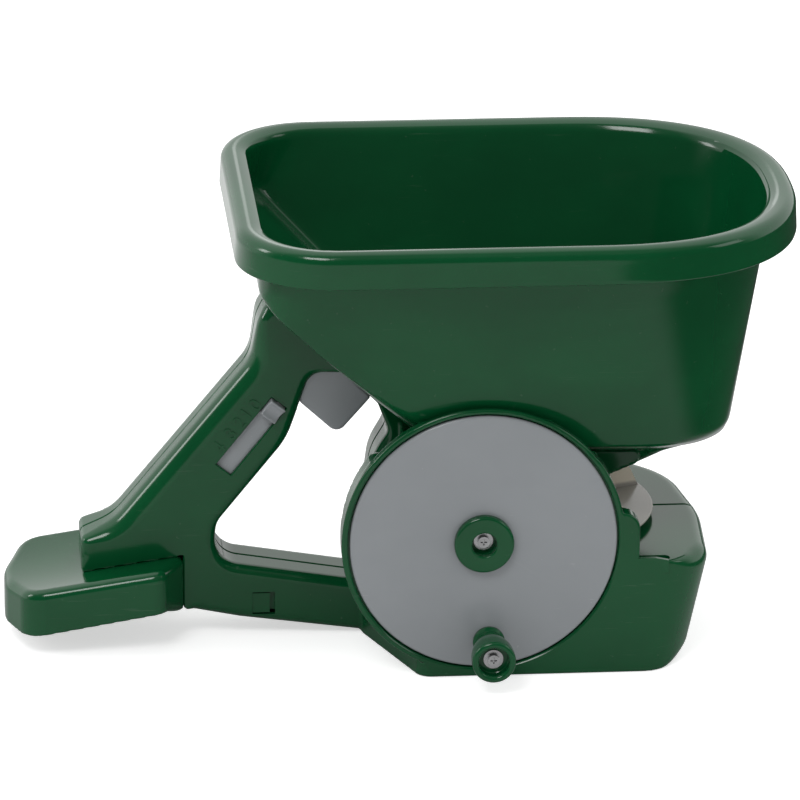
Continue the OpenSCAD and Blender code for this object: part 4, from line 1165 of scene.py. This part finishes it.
class SPREADER_OT_stage(bpy.types.Operator):
    """Lays a pale floor and sets soft studio light and the camera"""
    bl_idname = "spreader.stage"
    bl_label = "Stage"

    def execute(self, context):
        scene = context.scene
        scene.view_settings.view_transform = "Standard"
        corners = [(x * FLOOR_HALF, y * FLOOR_HALF, FLOOR_Z) for x, y in ((-1, -1), (1, -1), (1, 1), (-1, 1))]
        floor = new_object("floor", corners, [[0, 1, 2, 3]])
        paper = bpy.data.materials.new("floor_paper")
        f = Finish(paper)
        place = f.node("ShaderNodeTexCoord")["Object"]
        pale = scene.spreader_look.floor
        tint = f.mixed(f.noise(place, 3.0, 2.0), rgba(pale, 0.98), rgba(pale))
        # Glossy pieces mirror a floor that darkens to the right and brightens behind
        across = f.node("ShaderNodeSeparateXYZ", {0: place})
        shown = f.mixed(f.ramp(across[1], 0.1, 0.5), rgba(WHITE, 0.46), rgba(WHITE, 0.9))
        shown = f.mixed(f.ramp(across[0], 0.19, 0.27), shown, rgba(WHITE, 0.05))
        matt = f.node("ShaderNodeBsdfDiffuse", {"Color": tint})[0]
        mirrored = f.node("ShaderNodeBsdfDiffuse", {"Color": shown})[0]
        glow = f.node("ShaderNodeEmission", {"Color": rgba(WHITE), "Strength": 0.55})[0]
        lit = f.node("ShaderNodeAddShader", {0: matt, 1: glow})[0]
        direct, glossy = f.rays()
        unseen = f.node("ShaderNodeMixShader", {0: glossy, 1: matt, 2: mirrored})[0]
        f.output(f.node("ShaderNodeMixShader", {0: direct, 1: unseen, 2: lit})[0])
        floor.data.materials.append(paper)
        # White for the camera; soft light from behind and above, with a dark front for glossy rays
        scene.world = bpy.data.worlds.new("studio")
        f = Finish(scene.world)
        way = f.node("ShaderNodeSeparateXYZ", {0: f.node("ShaderNodeTexCoord")["Generated"]})
        level = 1.0 - f.ramp(0 - way[1], 0.15, 0.75) * 0.45
        studio = 0.05 + f.ramp(way[1], -0.3, 0.25) + f.ramp(way[2], 0.5, 0.9) * 0.2
        direct, glossy = f.rays()
        strength = (level * (1 - glossy) + studio * glossy) * (1 - direct) + direct
        sky = f.node("ShaderNodeBackground", {"Color": rgba(WHITE), "Strength": strength})[0]
        f.output(sky, "ShaderNodeOutputWorld")
        for name, place, aim, size, watts in LAMPS:
            lamp = bpy.data.lights.new(name, "AREA")
            lamp.shape, lamp.size, lamp.size_y, lamp.energy = "RECTANGLE", size[0] * MM, size[1] * MM, watts
            thing = bpy.data.objects.new(name, lamp)
            scene.collection.objects.link(thing)
            thing.location = Vector(place) * MM
            thing.rotation_euler = (Vector(aim) - Vector(place)).to_track_quat("-Z", "Y").to_euler()
        camera = bpy.data.objects.new("camera", bpy.data.cameras.new("camera"))
        camera.data.sensor_width, camera.data.lens = SENSOR, SENSOR * FOCAL / PICTURE
        camera.data.clip_start, camera.data.clip_end = 0.05, 60
        turn = Matrix([Vector(row) for row in (RIGHT, UP, BACK)]).transposed()
        camera.matrix_world = Matrix.Translation(Vector(EYE) * MM) @ turn.to_4x4()
        scene.collection.objects.link(camera)
        scene.camera = camera
        return {"FINISHED"}


OPERATORS = (
    SPREADER_OT_body, SPREADER_OT_arm_rest, SPREADER_OT_hopper, SPREADER_OT_wheel,
    SPREADER_OT_collar_and_knob, SPREADER_OT_trigger, SPREADER_OT_selector, SPREADER_OT_spinner,
    SPREADER_OT_hardware, SPREADER_OT_stage,
)


class SPREADER_PT_panel(bpy.types.Panel):
    """Lists the pieces and their settings"""
    bl_idname = "SPREADER_PT_panel"
    bl_label = "Hand spreader"
    bl_space_type = "VIEW_3D"
    bl_region_type = "UI"
    bl_category = "Spreader"

    def draw(self, context):
        for group in (context.scene.spreader_look, context.scene.spreader_sizes):
            for key in group.__annotations__:
                self.layout.prop(group, key)
        for kind in OPERATORS:
            self.layout.operator(kind.bl_idname)


CLASSES = (SpreaderLook, SpreaderSizes) + OPERATORS + (SPREADER_PT_panel,)


def register():
    for kind in CLASSES:
        bpy.utils.register_class(kind)
    bpy.types.Scene.spreader_look = PointerProperty(type=SpreaderLook)
    bpy.types.Scene.spreader_sizes = PointerProperty(type=SpreaderSizes)


def unregister():
    del bpy.types.Scene.spreader_look
    del bpy.types.Scene.spreader_sizes
    for kind in reversed(CLASSES):
        bpy.utils.unregister_class(kind)


def main():
    register()
    for kind in OPERATORS:
        group, name = kind.bl_idname.split(".")
        getattr(getattr(bpy.ops, group), name)()


if __name__ == "__main__":
    main()
